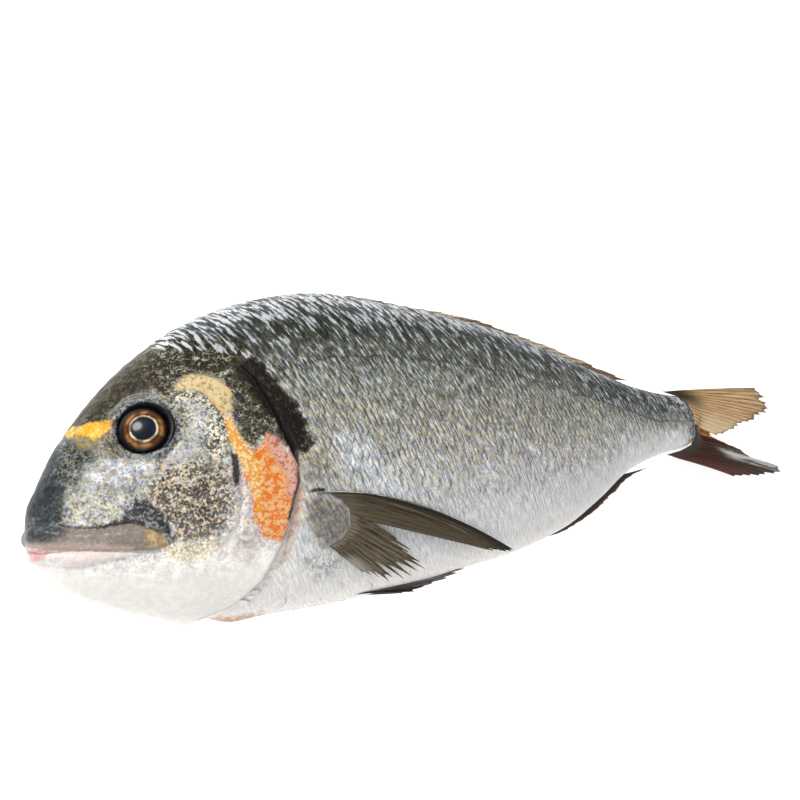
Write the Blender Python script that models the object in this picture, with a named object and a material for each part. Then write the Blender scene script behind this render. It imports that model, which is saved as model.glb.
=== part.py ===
"""A whole gilthead sea bream, laid on its right side.

The fish is drawn in its own frame, in millimetres: X runs from the snout to the tail, Y from the
belly to the back, and Z out of the left flank. An empty then tips it a few degrees, the way a
fresh fish settles on a table, and the flank that carries it is pressed flat.
"""

import math

import bmesh
import bpy
import numpy as np
from mathutils import Vector

MM = 0.001

# Driving dimensions of the fish, in millimetres
BODY_LENGTH = 250.0
EYE_RADIUS = 7.2
EYE_HALF_DEPTH = 3.6
EYE_SINK = 1.9
SOCKET_GAP = 0.35
GILL_COVER_LIFT = 1.3
FIN_THICKNESS = 0.9

# How it lies: the roll brings the belly down, the pitch brings the tail down
ROLL_DEG = 5.0
PITCH_DEG = 2.5
PRESSED_FLAT = 1.6

# Outlines of the body as (distance from the snout, height) with heights above the mouth's level
BACK_LINE = [(0, -1), (1, 7.5), (4, 13), (10, 23), (20, 34.5), (34, 47), (50, 56), (70, 62.5), (92, 65),
             (120, 60.5), (150, 53.5), (180, 42.5), (205, 31), (226, 23.2), (237, 20.8), (244, 19.5),
             (250, 15)]
BELLY_LINE = [(0, -1), (1, -6), (4, -10), (10, -16), (22, -22.5), (40, -28.5), (60, -30.5), (82, -31),
              (105, -30.5), (130, -28.5), (150, -26.5), (172, -22), (192, -13.5), (210, -4.5), (228, -0.5),
              (238, 0.5), (245, 3), (250, 8)]
HALF_WIDTH = [(0, 0.8), (1, 4), (4, 6.5), (10, 9.5), (22, 14), (40, 18.5), (60, 21), (80, 21.5), (100, 21),
              (130, 18.5), (160, 14.5), (190, 9.8), (215, 6.2), (235, 3.6), (244, 2), (250, 0.7)]
BACK_TAPER = 1.22
BELLY_TAPER = 0.98
BODY_STATIONS = 58
BODY_RING = 40

# Where things sit on the flank, as (distance from the snout, height)
EYE_CENTRE = (30.5, 24.0)
GILL_EDGE = [(57.5, 41), (62.5, 35), (65.5, 26), (68, 17), (70.6, 9), (69.6, 1.5), (66.6, -6), (63.5, -13),
             (58, -21), (50, -26.5), (41, -28.6)]
GILL_COVER_DEPTH = 17.0
# Lips as (distance from the snout, height, radius), from the tip of the snout to the corner of the mouth
UPPER_LIP = [(1.6, 0.3, 2.9), (4.5, -0.6, 3.2), (10.5, -2.3, 2.6), (17.5, -3.6, 2.8), (22, -4, 3.2),
             (26, -4.8, 3.2), (29.3, -6, 2.5), (32, -7, 1.2)]
LOWER_LIP = [(2.0, -5.2, 1.6), (5, -6, 1.9), (8.5, -7, 2.2), (12, -7.6, 2.1), (16, -7.9, 1.6),
             (20, -8.3, 1.1), (25, -8.8, 0.6)]

# Pectoral fin: a long blade and a short fan share one root on the flank
BLADE_ROOT = [(78.5, 0.2), (82.4, -2.4), (84.2, -5.2), (84.6, -8)]
BLADE_TIP = [(141.5, -25.2), (139.5, -25.9), (132, -23.8)]
BLADE_RAYS, BLADE_BOW, BLADE_FALL = 7, 5.0, 0.11
FAN_ROOT = [(84.6, -7.4), (83.2, -11.4), (79, -14.6)]
FAN_TIP = [(101.5, -17), (110, -27), (104.5, -29.2), (97.5, -28.8), (90, -25.2)]
FAN_RAYS, FAN_BOW, FAN_FALL = 6, 0.6, 0.2
FIN_HOVER, FIN_HOVER_PRESSED, FIN_SUNK_ROOT = 1.1, 0.0, -0.9
FIN_STALK_CENTRE, FIN_STALK_RADII = (80.0, -7.6), (8.6, 6.5, 1.4)

# Tail fin: ends of the rays from the top of the upper lobe, past the fork, to the lower edge
TAIL_ROOT_TOP, TAIL_ROOT_LOW, TAIL_ROOT_X, TAIL_ROOT_BOW = 22.0, -3.0, 232.0, 12.0
TAIL_OUTLINE = [(291, 21.4), (300.5, 14.8), (290, 9.6), (272, 6.2), (256, 2.6), (267, -1.6), (276.5, -6.4),
                (289, -10.2), (300.5, -13), (283, -15)]
TAIL_RAYS = 17
TAIL_DROOP = 8.2
TAIL_DROOP_FROM = 240.0

# Fins that lie folded: (start, end) along the outline, how far they stand out and their lean
DORSAL_SPAN, DORSAL_HEIGHT, DORSAL_LEAN_DEG, DORSAL_RAYS = (86.0, 206.0), 4.2, 58.0, 22
ANAL_SPAN, ANAL_HEIGHT, ANAL_LEAN_DEG, ANAL_RAYS = (158.0, 200.0), 5.0, 12.0, 12
FOLDED_SWEEP, FOLDED_HALF = 12.0, (1.3, 0.9, 0.5)
PELVIC_SPAN, PELVIC_HEIGHT, PELVIC_SIDE = (84.0, 134.0), 3.4, 4.2
MEMBRANE_CENTRE, MEMBRANE_RADII = (50.0, -29.0, -3.5), (8.0, 2.6, 3.2)

SKIN = ("skin", (0.42, 0.44, 0.43, 1), 0.35)
EYE = ("eye", (0.03, 0.035, 0.05, 1), 0.12)


def clear_scene():
    """Starts from an empty scene."""
    for thing in list(bpy.data.objects):
        bpy.data.objects.remove(thing)


def finish(name, colour, roughness):
    """A Principled material."""
    material = bpy.data.materials.new(name)
    material.use_nodes = True
    shader = material.node_tree.nodes["Principled BSDF"]
    shader.inputs["Base Color"].default_value = colour
    shader.inputs["Roughness"].default_value = roughness
    return material


def smooth_line(table, x):
    """Height at x of the smooth line through a table of points. Between points it never overshoots.
    It is drawn over the square root of the distance, which rounds the snout."""
    points = np.array(table, float)
    s = np.sqrt(points[:, 0] / BODY_LENGTH)
    y = points[:, 1]
    gaps = np.diff(s)
    rise = np.diff(y) / gaps
    slope = np.concatenate([rise[:1], np.zeros(len(s) - 2), rise[-1:]])
    for i in range(1, len(s) - 1):
        if rise[i - 1] * rise[i] > 0:
            before, after = 2 * gaps[i] + gaps[i - 1], gaps[i] + 2 * gaps[i - 1]
            slope[i] = (before + after) / (before / rise[i - 1] + after / rise[i])
    at = np.clip(np.sqrt(np.maximum(x, 0) / BODY_LENGTH), 0, 1)
    k = np.clip(np.searchsorted(s, at) - 1, 0, len(gaps) - 1)
    t = (at - s[k]) / gaps[k]
    return ((1 + 2 * t) * (1 - t) ** 2 * y[k] + t * (1 - t) ** 2 * gaps[k] * slope[k]
            + t * t * (3 - 2 * t) * y[k + 1] + t * t * (t - 1) * gaps[k] * slope[k + 1])


def section(x, angle):
    """Point of the skin at distance x. The angle is 0 on the left flank and a right angle on the back."""
    top, low, wide = (smooth_line(t, x) for t in (BACK_LINE, BELLY_LINE, HALF_WIDTH))
    middle, half = (top + low) / 2, (top - low) / 2
    side, up = np.cos(angle), np.sin(angle)
    taper = np.where(up > 0, BACK_TAPER, BELLY_TAPER)
    return np.stack([x + 0 * angle, middle + half * up, wide * np.sign(side) * np.abs(side) ** taper], -1)


def flank(x, y, side=1, lift=0.0):
    """Point on the left (side 1) or right (side -1) flank at distance x and height y, raised by lift."""
    top, low = smooth_line(BACK_LINE, x), smooth_line(BELLY_LINE, x)
    up = np.clip((y - (top + low) / 2) / ((top - low) / 2), -0.999, 0.999)
    around = np.arcsin(up)
    here = section(x, around)
    along = section(x + 0.5, around) - section(x - 0.5, around)
    across = section(x, around + 0.01) - section(x, around - 0.01)
    outward = np.cross(along, across)
    point = here + outward / np.linalg.norm(outward) * lift
    return np.array([point[0], point[1], point[2] * side])


def add_object(name, mesh, home, parent):
    thing = bpy.data.objects.new(name, mesh)
    home.objects.link(thing)
    thing.parent = parent
    return thing


def loft(name, rings, home, parent):
    """Closed solid through rings of equal length, with a fan of faces over each end."""
    bm = bmesh.new()
    rows = [[bm.verts.new(Vector(p) * MM) for p in ring] for ring in rings]
    for row, following in zip(rows, rows[1:]):
        for i in range(len(row)):
            j = (i + 1) % len(row)
            bm.faces.new((row[i], row[j], following[j], following[i]))
    bm.faces.new(rows[0])
    bm.faces.new(reversed(rows[-1]))
    bm.normal_update()
    bmesh.ops.recalc_face_normals(bm, faces=bm.faces)
    mesh = bpy.data.meshes.new(name)
    bm.to_mesh(mesh)
    bm.free()
    return add_object(name, mesh, home, parent)


def slab(name, middle, half, out, home, parent):
    """Closed thin solid about a grid of points: half is its half thickness along the direction out."""
    middle, half, out = (np.asarray(v, float) for v in (middle, half, out))
    rings = []
    for row, thickness, direction in zip(middle, half, np.broadcast_to(out, middle.shape)):
        offset = thickness[:, None] * direction
        rings.append(np.concatenate([row + offset, (row - offset)[::-1]]))
    return loft(name, rings, home, parent)


def spread(points, count):
    """Evenly spaced points along the line through a short list of points, as an array."""
    points = np.array(points, float)
    steps = np.concatenate([[0], np.cumsum(np.linalg.norm(np.diff(points, axis=0), axis=1))])
    at = np.linspace(0, steps[-1], count)
    return np.stack([np.interp(at, steps, points[:, k]) for k in range(points.shape[1])], -1)


def rayed(roots, tips, stations, bow=0.0, notch=0.06):
    """Grid over a fin, one row for each ray and one for each valley between two rays, and the share of
    full thickness at each point. The edge is notched between rays, and the first rays bow upwards."""
    rows, share = [], []
    for k in range(2 * len(roots) - 1):
        first, second = k // 2, (k + 1) // 2
        root, tip = (roots[first] + roots[second]) / 2, (tips[first] + tips[second]) / 2
        valley = k % 2
        reach = 1 - notch * valley
        steps = np.linspace(0, 1, stations)
        row = root + (tip - root) * steps[:, None] * reach
        row[:, 1] += bow * 4 * steps * (1 - steps) * (1 - k / (2 * len(roots) - 2))
        rows.append(row)
        share.append(np.full(stations, 0.5 if valley else 1.0))
    return np.array(rows), np.array(share)


def make_body(home, parent):
    """Head and trunk in one loft, from the snout to the rounded root of the tail fin."""
    stations = BODY_LENGTH * np.linspace(0.02, 1, BODY_STATIONS) ** 2
    angles = np.linspace(0, 2 * math.pi, BODY_RING, endpoint=False)
    return loft("bream", [section(x, angles) for x in stations], home, parent)


def make_gill_cover(side, home, parent):
    """The bony flap behind the cheek. Its rear edge stands clear of the flank."""
    edge = spread(GILL_EDGE, 18)
    middle, half = [], []
    for x, y in edge:
        row = []
        for back in np.linspace(0, 1, 5):
            lift = GILL_COVER_LIFT * (1 - back) ** 1.5 - 1.7 * back - 0.2
            row.append(flank(x - GILL_COVER_DEPTH * back, y + 3 * back * (y < 0), side, lift))
        middle.append(row)
        half.append(np.full(5, 0.6))
    return slab("gill_cover", middle, half, (0, 0, 1), home, parent)


def make_lip(name, path, home, parent):
    """A lip as one roll from the left corner of the mouth, round the snout, to the right corner."""
    left = [(flank(x, y, 1, -0.3 * r), r) for x, y, r in reversed(path)]
    right = [(flank(x, y, -1, -0.3 * r), r) for x, y, r in path]
    curve = bpy.data.curves.new(name, "CURVE")
    curve.dimensions = "3D"
    curve.bevel_depth = MM
    curve.bevel_resolution = 1
    curve.resolution_u = 3
    curve.use_fill_caps = True
    spline = curve.splines.new("NURBS")
    spline.points.add(len(left) + len(right) - 1)
    for knot, (place, radius) in zip(spline.points, left + right):
        knot.co = (*(Vector(place) * MM), 1)
        knot.radius = radius
    spline.use_endpoint_u = True
    spline.order_u = 3
    guide = add_object(name + "_path", curve, home, parent)
    bpy.context.view_layer.update()
    mesh = bpy.data.meshes.new_from_object(guide.evaluated_get(bpy.context.evaluated_depsgraph_get()))
    bm = bmesh.new()
    bm.from_mesh(mesh)
    bmesh.ops.remove_doubles(bm, verts=bm.verts, dist=1e-6)
    bmesh.ops.recalc_face_normals(bm, faces=bm.faces)
    bm.to_mesh(mesh)
    bm.free()
    bpy.data.objects.remove(guide)
    return add_object(name, mesh, home, parent)


def make_pectoral(side, home, parent):
    """The side fin, folded back along the flank in two bundles of rays that share a fleshy stalk."""
    hover = FIN_HOVER if side > 0 else FIN_HOVER_PRESSED
    bundles = (("blade", BLADE_ROOT, BLADE_TIP, BLADE_RAYS, BLADE_BOW, BLADE_FALL),
               ("fan", FAN_ROOT, FAN_TIP, FAN_RAYS, FAN_BOW, FAN_FALL))
    for name, roots, tips, rays, bow, fall in bundles:
        grid, share = rayed(spread(roots, rays), spread(tips, rays), 7, bow)
        middle = np.zeros((*grid.shape[:2], 3))
        for i, row in enumerate(grid):
            start = flank(*row[0])[2] + hover
            for j, (x, y) in enumerate(row):
                straight = start - fall * math.dist(row[0], (x, y))
                out = max(flank(x, y)[2] + hover, straight) if j else flank(x, y)[2] + FIN_SUNK_ROOT
                middle[i, j] = x, y, out * side
        slab(f"pectoral_{name}", middle, share * FIN_THICKNESS / 2, (0, 0, 1), home, parent)
    centre, axes = skin_frame(FIN_STALK_CENTRE, side, 0.0)
    ellipsoid("pectoral_stalk", centre, axes, FIN_STALK_RADII, home, parent, 14)


def make_tail(home, parent):
    """The tail fin: one fan of rays round the fork, which droops a little towards its end."""
    heights = np.linspace(TAIL_ROOT_TOP, TAIL_ROOT_LOW, TAIL_RAYS)
    centre, half = (TAIL_ROOT_TOP + TAIL_ROOT_LOW) / 2, (TAIL_ROOT_TOP - TAIL_ROOT_LOW) / 2
    roots = np.stack([TAIL_ROOT_X + TAIL_ROOT_BOW * (1 - ((heights - centre) / half) ** 2), heights], -1)
    grid, share = rayed(roots, spread(TAIL_OUTLINE, TAIL_RAYS), 7)
    droop = -TAIL_DROOP * np.clip((grid[..., 0] - TAIL_DROOP_FROM) / 60, 0, None) ** 2
    middle = np.concatenate([grid, droop[..., None]], -1)
    slab("tail", middle, share * np.linspace(3.2, 1.0, 7) * FIN_THICKNESS / 2, (0, 0, 1), home, parent)


def make_folded(name, line, span, height, lean_deg, rays, out, home, parent):
    """A fin of the back (out 1) or belly (out -1) that lies folded, its rays swept to the rear."""
    roots_x = np.linspace(*span, rays)
    lean = math.radians(lean_deg)
    middle, half = [], []
    for k in range(2 * rays - 1):
        x = np.interp(k / 2, np.arange(rays), roots_x)
        along = (x - span[0]) / (span[1] - span[0])
        stands = height * min(1, 6 * along + 0.15, 5 * (1 - along) + 0.3) * (0.75 if k % 2 else 1)
        root_y = smooth_line(line, x) - out * 1.2
        row = []
        for s in np.linspace(0, 1, 3):
            reach = s * (stands + 1.2)
            upright, aside = reach * math.cos(lean), reach * math.sin(lean)
            row.append((x + FOLDED_SWEEP * s, root_y + out * upright, -aside))
        middle.append(row)
        half.append(np.array(FOLDED_HALF) * (0.5 if k % 2 else 0.8) * FIN_THICKNESS)
    return slab(name, middle, half, (0, 0, 1), home, parent)


def make_pelvic(side, home, parent):
    """A belly fin, folded back along the belly's edge."""
    middle, half = [], []
    for along in np.linspace(0, 1, 13):
        x = PELVIC_SPAN[0] + (PELVIC_SPAN[1] - PELVIC_SPAN[0]) * along
        root = smooth_line(BELLY_LINE, x) + 1.5
        drop = (PELVIC_HEIGHT + 1.5) * min(1, 6 * along + 0.2, 2.5 * (1 - along) + 0.12)
        z = side * (PELVIC_SIDE - 1.4 * along)
        middle.append([(x, root - drop * s, z + side * 0.8 * s) for s in (0, 0.5, 1)])
        half.append(np.array([1.2, 1.0, 0.6]) * (1 - 0.4 * along))
    return slab("pelvic", middle, half, (0, 0, 1), home, parent)


def ellipsoid(name, centre, axes, radii, home, parent, around=20):
    """A ball stretched to three radii along three directions."""
    bm = bmesh.new()
    bmesh.ops.create_uvsphere(bm, u_segments=around, v_segments=around // 2, radius=1)
    for vert in bm.verts:
        spot = sum((Vector(axis) * radius * c for axis, radius, c in zip(axes, radii, vert.co)), Vector())
        vert.co = (Vector(centre) + spot) * MM
    bm.normal_update()
    bmesh.ops.recalc_face_normals(bm, faces=bm.faces)
    mesh = bpy.data.meshes.new(name)
    bm.to_mesh(mesh)
    bm.free()
    return add_object(name, mesh, home, parent)


def skin_frame(spot, side, sink):
    """A point sunk below the flank, and three directions there: up the body, along it, and out of it."""
    surface, outer = Vector(flank(*spot, side)), Vector(flank(*spot, side, 1.0))
    out = (outer - surface).normalized()
    up = out.cross(Vector((1, 0, 0))).normalized()
    return surface - out * sink, (up, up.cross(out).normalized(), out)


def modify(body, operation, collection=None, target=None):
    """Adds one Boolean to the body and applies it."""
    step = body.modifiers.new(operation.lower(), "BOOLEAN")
    step.operation = operation
    step.solver = "MANIFOLD"
    if collection:
        step.operand_type = "COLLECTION"
        step.collection = collection
    else:
        step.object = target
    bpy.context.view_layer.update()
    mesh = bpy.data.meshes.new_from_object(body.evaluated_get(bpy.context.evaluated_depsgraph_get()))
    body.modifiers.remove(step)
    body.data = mesh


def world_points(thing):
    co = np.zeros(len(thing.data.vertices) * 3)
    thing.data.vertices.foreach_get("co", co)
    matrix = np.array(thing.matrix_world)
    return co.reshape(-1, 3) @ matrix[:3, :3].T + matrix[:3, 3]


def press_on_table(body, pose, home):
    """Lowers the fish until its flank dips by PRESSED_FLAT, and cuts that dip off flat."""
    bpy.context.view_layer.update()
    pose.location.z = -world_points(body)[:, 2].min() - PRESSED_FLAT * MM
    bm = bmesh.new()
    bmesh.ops.create_cube(bm, size=1)
    mesh = bpy.data.meshes.new("table")
    bm.to_mesh(mesh)
    bm.free()
    table = add_object("table", mesh, home, None)
    table.scale = (1, 0.6, 0.1)
    table.location = (0.15, 0, -0.05)
    table.hide_render = True
    table.display_type = "WIRE"
    modify(body, "DIFFERENCE", target=table)
    bpy.data.objects.remove(table)


def centre_on_origin(solids, pose):
    """Moves the fish so that the origin lies under the middle of its bounding box, on the table."""
    bpy.context.view_layer.update()
    points = np.concatenate([world_points(s) for s in solids])
    low, high = points.min(0), points.max(0)
    pose.location.x -= (low[0] + high[0]) / 2
    pose.location.y -= (low[1] + high[1]) / 2


def main():
    clear_scene()
    fish = bpy.data.collections.new("gilthead_bream")
    helpers = bpy.data.collections.new("joined_shapes")
    for collection in (fish, helpers):
        bpy.context.scene.collection.children.link(collection)
    pose = bpy.data.objects.new("laid_down", None)
    fish.objects.link(pose)
    pose.rotation_euler = (math.radians(ROLL_DEG), math.radians(PITCH_DEG), 0)

    body = make_body(fish, pose)
    for side in (1, -1):
        make_gill_cover(side, helpers, pose)
        make_pectoral(side, helpers, pose)
        make_pelvic(side, helpers, pose)
    make_lip("upper_lip", UPPER_LIP, helpers, pose)
    make_lip("lower_lip", LOWER_LIP, helpers, pose)
    make_tail(helpers, pose)
    make_folded("dorsal", BACK_LINE, DORSAL_SPAN, DORSAL_HEIGHT, DORSAL_LEAN_DEG, DORSAL_RAYS, 1, helpers,
                pose)
    make_folded("anal", BELLY_LINE, ANAL_SPAN, ANAL_HEIGHT, ANAL_LEAN_DEG, ANAL_RAYS, -1, helpers, pose)
    upright = (Vector((1, 0, 0)), Vector((0, 1, 0)), Vector((0, 0, 1)))
    ellipsoid("membrane", MEMBRANE_CENTRE, upright, MEMBRANE_RADII, helpers, pose, 14)
    modify(body, "UNION", collection=helpers)
    for thing in list(helpers.objects):
        bpy.data.objects.remove(thing)

    eyes = []
    for side, name in ((1, "eye_left"), (-1, "eye_right")):
        centre, axes = skin_frame(EYE_CENTRE, side, EYE_SINK)
        radii = (EYE_RADIUS, EYE_RADIUS, EYE_HALF_DEPTH)
        socket = ellipsoid("socket", centre, axes, [r + SOCKET_GAP for r in radii], helpers, pose)
        modify(body, "DIFFERENCE", target=socket)
        bpy.data.objects.remove(socket)
        eyes.append(ellipsoid(name, centre, axes, radii, fish, pose))
    press_on_table(body, pose, helpers)
    centre_on_origin([body, *eyes], pose)
    bpy.data.collections.remove(helpers)

    skin, eye = finish(*SKIN), finish(*EYE)
    for thing, material in ((body, skin), (eyes[0], eye), (eyes[1], eye)):
        thing.data.materials.clear()
        thing.data.materials.append(material)
        thing.data.shade_smooth()
    bpy.context.view_layer.update()


main()
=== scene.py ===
# %% [markdown]
# # A gilthead sea bream, laid on its side
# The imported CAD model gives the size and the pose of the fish. This script dresses it: one fine skin over
# head and trunk, a coat of separate scales, two glassy eyes, and fins with rays. Everything is placed in
# the fish's own frame first, and then tipped on to the table the way the CAD model lies.

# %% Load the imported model
import math

import bmesh
import bpy
import numpy as np
from mathutils import Euler, Matrix, Vector, noise


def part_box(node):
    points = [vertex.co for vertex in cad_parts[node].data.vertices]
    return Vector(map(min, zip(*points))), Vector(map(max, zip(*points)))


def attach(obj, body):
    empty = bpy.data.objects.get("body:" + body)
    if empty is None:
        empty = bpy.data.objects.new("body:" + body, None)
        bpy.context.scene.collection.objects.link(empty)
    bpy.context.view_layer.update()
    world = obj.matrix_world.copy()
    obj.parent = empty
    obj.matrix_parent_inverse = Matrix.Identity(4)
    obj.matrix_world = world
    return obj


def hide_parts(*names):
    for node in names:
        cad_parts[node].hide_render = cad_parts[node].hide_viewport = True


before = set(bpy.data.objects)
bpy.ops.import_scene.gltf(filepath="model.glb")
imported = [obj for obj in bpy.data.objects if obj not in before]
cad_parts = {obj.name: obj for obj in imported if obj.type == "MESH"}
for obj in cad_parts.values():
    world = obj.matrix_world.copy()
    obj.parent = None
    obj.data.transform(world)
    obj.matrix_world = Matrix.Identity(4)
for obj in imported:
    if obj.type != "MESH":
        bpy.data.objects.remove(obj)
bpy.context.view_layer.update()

# %% [markdown]
# The fish's own frame is in millimetres: X runs from the snout to the tail, Y from the belly to the back,
# and Z out of the left flank. The outlines below are the ones the CAD model was drawn from. A body could
# also be sculpted, but three smooth lines and a section keep the skin, the scales and the fins in step.

# %% Outlines of the body
MM = 0.001
BODY_LENGTH = 250.0
BACK_LINE = [(0, -1), (1, 7.5), (4, 13), (10, 23), (20, 34.5), (34, 47), (50, 56), (70, 62.5), (92, 65),
             (120, 60.5), (150, 53.5), (180, 42.5), (205, 31), (226, 23.2), (237, 20.8), (244, 19.5),
             (250, 15)]
BELLY_LINE = [(0, -1), (1, -6), (4, -10), (10, -16), (22, -22.5), (40, -28.5), (60, -30.5), (82, -31),
              (105, -30.5), (130, -28.5), (150, -26.5), (172, -22), (192, -13.5), (210, -4.5), (228, -0.5),
              (238, 0.5), (245, 3), (250, 8)]
HALF_WIDTH = [(0, 0.8), (1, 4), (4, 6.5), (10, 9.5), (22, 14), (40, 18.5), (60, 21), (80, 21.5), (100, 21),
              (130, 18.5), (160, 14.5), (190, 9.8), (215, 6.2), (235, 3.6), (244, 2), (250, 0.7)]
BACK_TAPER, BELLY_TAPER = 1.22, 0.98


def smooth_line(table, x):
    """Height at x of the smooth line through a table of points, which never overshoots between them."""
    points = np.array(table, float)
    s, y = np.sqrt(points[:, 0] / BODY_LENGTH), points[:, 1]
    gaps = np.diff(s)
    rise = np.diff(y) / gaps
    slope = np.concatenate([rise[:1], np.zeros(len(s) - 2), rise[-1:]])
    for i in range(1, len(s) - 1):
        if rise[i - 1] * rise[i] > 0:
            before, after = 2 * gaps[i] + gaps[i - 1], gaps[i] + 2 * gaps[i - 1]
            slope[i] = (before + after) / (before / rise[i - 1] + after / rise[i])
    at = np.clip(np.sqrt(np.maximum(x, 0) / BODY_LENGTH), 0, 1)
    k = np.clip(np.searchsorted(s, at) - 1, 0, len(gaps) - 1)
    t = (at - s[k]) / gaps[k]
    return ((1 + 2 * t) * (1 - t) ** 2 * y[k] + t * (1 - t) ** 2 * gaps[k] * slope[k]
            + t * t * (3 - 2 * t) * y[k + 1] + t * t * (t - 1) * gaps[k] * slope[k + 1])


def section(x, angle):
    """Bare body at distance x. The angle is 0 on the left flank and a right angle on the back."""
    x, angle = np.broadcast_arrays(np.asarray(x, float), angle)
    top, low, wide = (smooth_line(table, x) for table in (BACK_LINE, BELLY_LINE, HALF_WIDTH))
    side, up = np.cos(angle), np.sin(angle)
    taper = np.where(up > 0, BACK_TAPER, BELLY_TAPER)
    y = (top + low) / 2 + (top - low) / 2 * up
    z = wide * np.sign(side) * np.abs(side) ** taper
    return np.stack([x, y, z], -1)


def outward(x, angle):
    """Unit normals of the bare body, from differences that are shortest at the tightly curved snout."""
    x = np.maximum(x, 0.02)
    step = 0.02 + 0.01 * x
    along = section(x + step, angle) - section(x - 0.5 * step, angle)
    across = section(x, angle + 0.01) - section(x, angle - 0.01)
    out = np.cross(along, across)
    return out / np.linalg.norm(out, axis=-1, keepdims=True)


def angle_at(x, y):
    """Angle round the body at which the flank has the height y."""
    top, low = smooth_line(BACK_LINE, x), smooth_line(BELLY_LINE, x)
    return np.arcsin(np.clip((y - (top + low) / 2) / ((top - low) / 2), -0.999, 0.999))


def flank(x, y, side=1, lift=0.0):
    """Points on the left (side 1) or right (side -1) flank at distance x and height y, raised by lift."""
    x, y = np.asarray(x, float), np.asarray(y, float)
    around = angle_at(x, y)
    return (section(x, around) + outward(x, around) * np.expand_dims(lift, -1)) * (1, 1, side)


# %% [markdown]
# The CAD fish is the same shape tipped by a small roll and pitch. How far it was then shifted is read back
# from the box of its left eye, whose centre is known in both frames.

# %% From the fish's frame to the table
ROLL_DEG, PITCH_DEG = 5.0, 2.5
EYE_CENTRE, EYE_SINK = (30.5, 24.0), 1.9
# height over which the flank eases into the flat patch it is pressed to
SOFT_EDGE = 0.8 * MM

tipped = np.array(Euler((math.radians(ROLL_DEG), math.radians(PITCH_DEG), 0)).to_matrix())
eye_low, eye_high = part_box("eye_left")
shift = (np.array(eye_low) + np.array(eye_high)) / 2 - tipped @ flank(*EYE_CENTRE, 1, -EYE_SINK) * MM


def to_table(points, clear=0.0):
    """Points of the fish's frame as metres on the table. What would sink in is pressed flat, clear of it."""
    placed = np.asarray(points, float) * MM @ tipped.T + shift
    z = placed[..., 2] - clear
    eased = (np.maximum(z, -SOFT_EDGE) + SOFT_EDGE) ** 2 / (4 * SOFT_EDGE)
    placed[..., 2] = np.where(z > SOFT_EDGE, z, eased) + clear
    return placed


print("snout in mm on the table:", np.round(shift * 1000, 2))

# %% [markdown]
# The camera stands where the photographer stood, seen from the fish: in front of the head, a little below
# the belly, and out on the left side. With the fish lying down, that is a view from above.

# %% Camera
CAMERA_AT = (-42.6, -23.6, 277.2)
CAMERA_RIGHT, CAMERA_UP = (0.864, -0.178, 0.471), (0.077, 0.971, 0.227)
LENS_MM = 45.0

right, up = (tipped @ np.array(v) for v in (CAMERA_RIGHT, CAMERA_UP))
back = np.cross(right, up)
up = np.cross(back, right)
turned = np.stack([v / np.linalg.norm(v) for v in (right, up, back)], 1)
camera = bpy.data.objects.new("camera", bpy.data.cameras.new("camera"))
camera.data.lens = LENS_MM
camera.data.sensor_width = 36.0
camera.data.clip_start = 0.01
camera.location = Vector(tipped @ np.array(CAMERA_AT) * MM + shift)
camera.rotation_euler = Matrix(turned.tolist()).to_euler()
bpy.context.scene.collection.objects.link(camera)
bpy.context.scene.camera = camera
bpy.context.scene.view_settings.view_transform = "Standard"
print("camera in mm:", [round(c * 1000) for c in camera.location])

# %% [markdown]
# Small helpers serve every material and every piece: one turns a hex colour to linear values, one adds a
# node, one fills a colour ramp, and one makes an object of a mesh.


# %% Helpers
def paint(hex_code):
    """An sRGB hex colour as linear RGBA."""
    parts = [int(hex_code[i:i + 2], 16) / 255 for i in (1, 3, 5)]
    return (*(c / 12.92 if c <= 0.04045 else ((c + 0.055) / 1.055) ** 2.4 for c in parts), 1.0)


def add(tree, kind, inputs=(), output=None, **settings):
    """Adds a shader node and returns the output asked for, or else its first one in use.

    The inputs are a list from the first on, or a dictionary by name or number. A socket is linked, and
    anything else is set as the input's value.
    """
    made = tree.nodes.new("ShaderNode" + kind)
    for name, value in settings.items():
        setattr(made, name, value)
    for name, value in inputs.items() if isinstance(inputs, dict) else enumerate(inputs):
        if isinstance(value, bpy.types.NodeSocket):
            tree.links.new(value, made.inputs[name])
        else:
            made.inputs[name].default_value = value
    return made.outputs[output] if output else next(out for out in made.outputs if out.enabled)


def ramp(tree, value, stops):
    """Colours a value by stops of (place, hex colour), from low to high."""
    colour = add(tree, "ValToRGB", [value])
    elements = colour.node.color_ramp.elements
    while len(elements) < len(stops):
        elements.new(0.5)
    for element, (place, _) in zip(elements, stops):
        element.position = place
    for element, (_, shade) in zip(elements, stops):
        element.color = paint(shade)
    return colour


def new_material(name, roughness, ior, coat, coat_roughness):
    """A material, its node tree and its shader, with the values that are the same all over."""
    material = bpy.data.materials.new(name)
    material.use_nodes = True
    shader = material.node_tree.nodes["Principled BSDF"]
    shader.inputs["Roughness"].default_value = roughness
    shader.inputs["IOR"].default_value = ior
    shader.inputs["Coat Weight"].default_value = coat
    shader.inputs["Coat Roughness"].default_value = coat_roughness
    return material, material.node_tree, shader


def store(mesh, **fields):
    """Keeps numbers on a mesh's vertices, for its material to read."""
    for name, values in fields.items():
        mesh.attributes.new(name, "FLOAT", "POINT").data.foreach_set("value", np.asarray(values, np.float32))


def new_piece(name, mesh, material, *nodes, slot="skin"):
    """An object that rides on the fish and stands for CAD nodes."""
    piece = bpy.data.objects.new(name, mesh)
    bpy.context.scene.collection.objects.link(piece)
    mesh.materials.append(material)
    mesh.shade_smooth()
    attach(piece, "root")
    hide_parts(*nodes)
    print(name, len(mesh.polygons), "faces")
    return piece


# %% [markdown]
# The studio is a sheet of matt white paper on a light table, which shines through it a little, so that the
# shadow of the fish stays pale. A soft light from behind the back draws glints on the wet scales there, and
# a weaker one fills the head.

# %% Floor and light
TABLE_REACH, TABLE_GLOW, SKY_GLOW = 3.0, 0.6, 0.5


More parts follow.
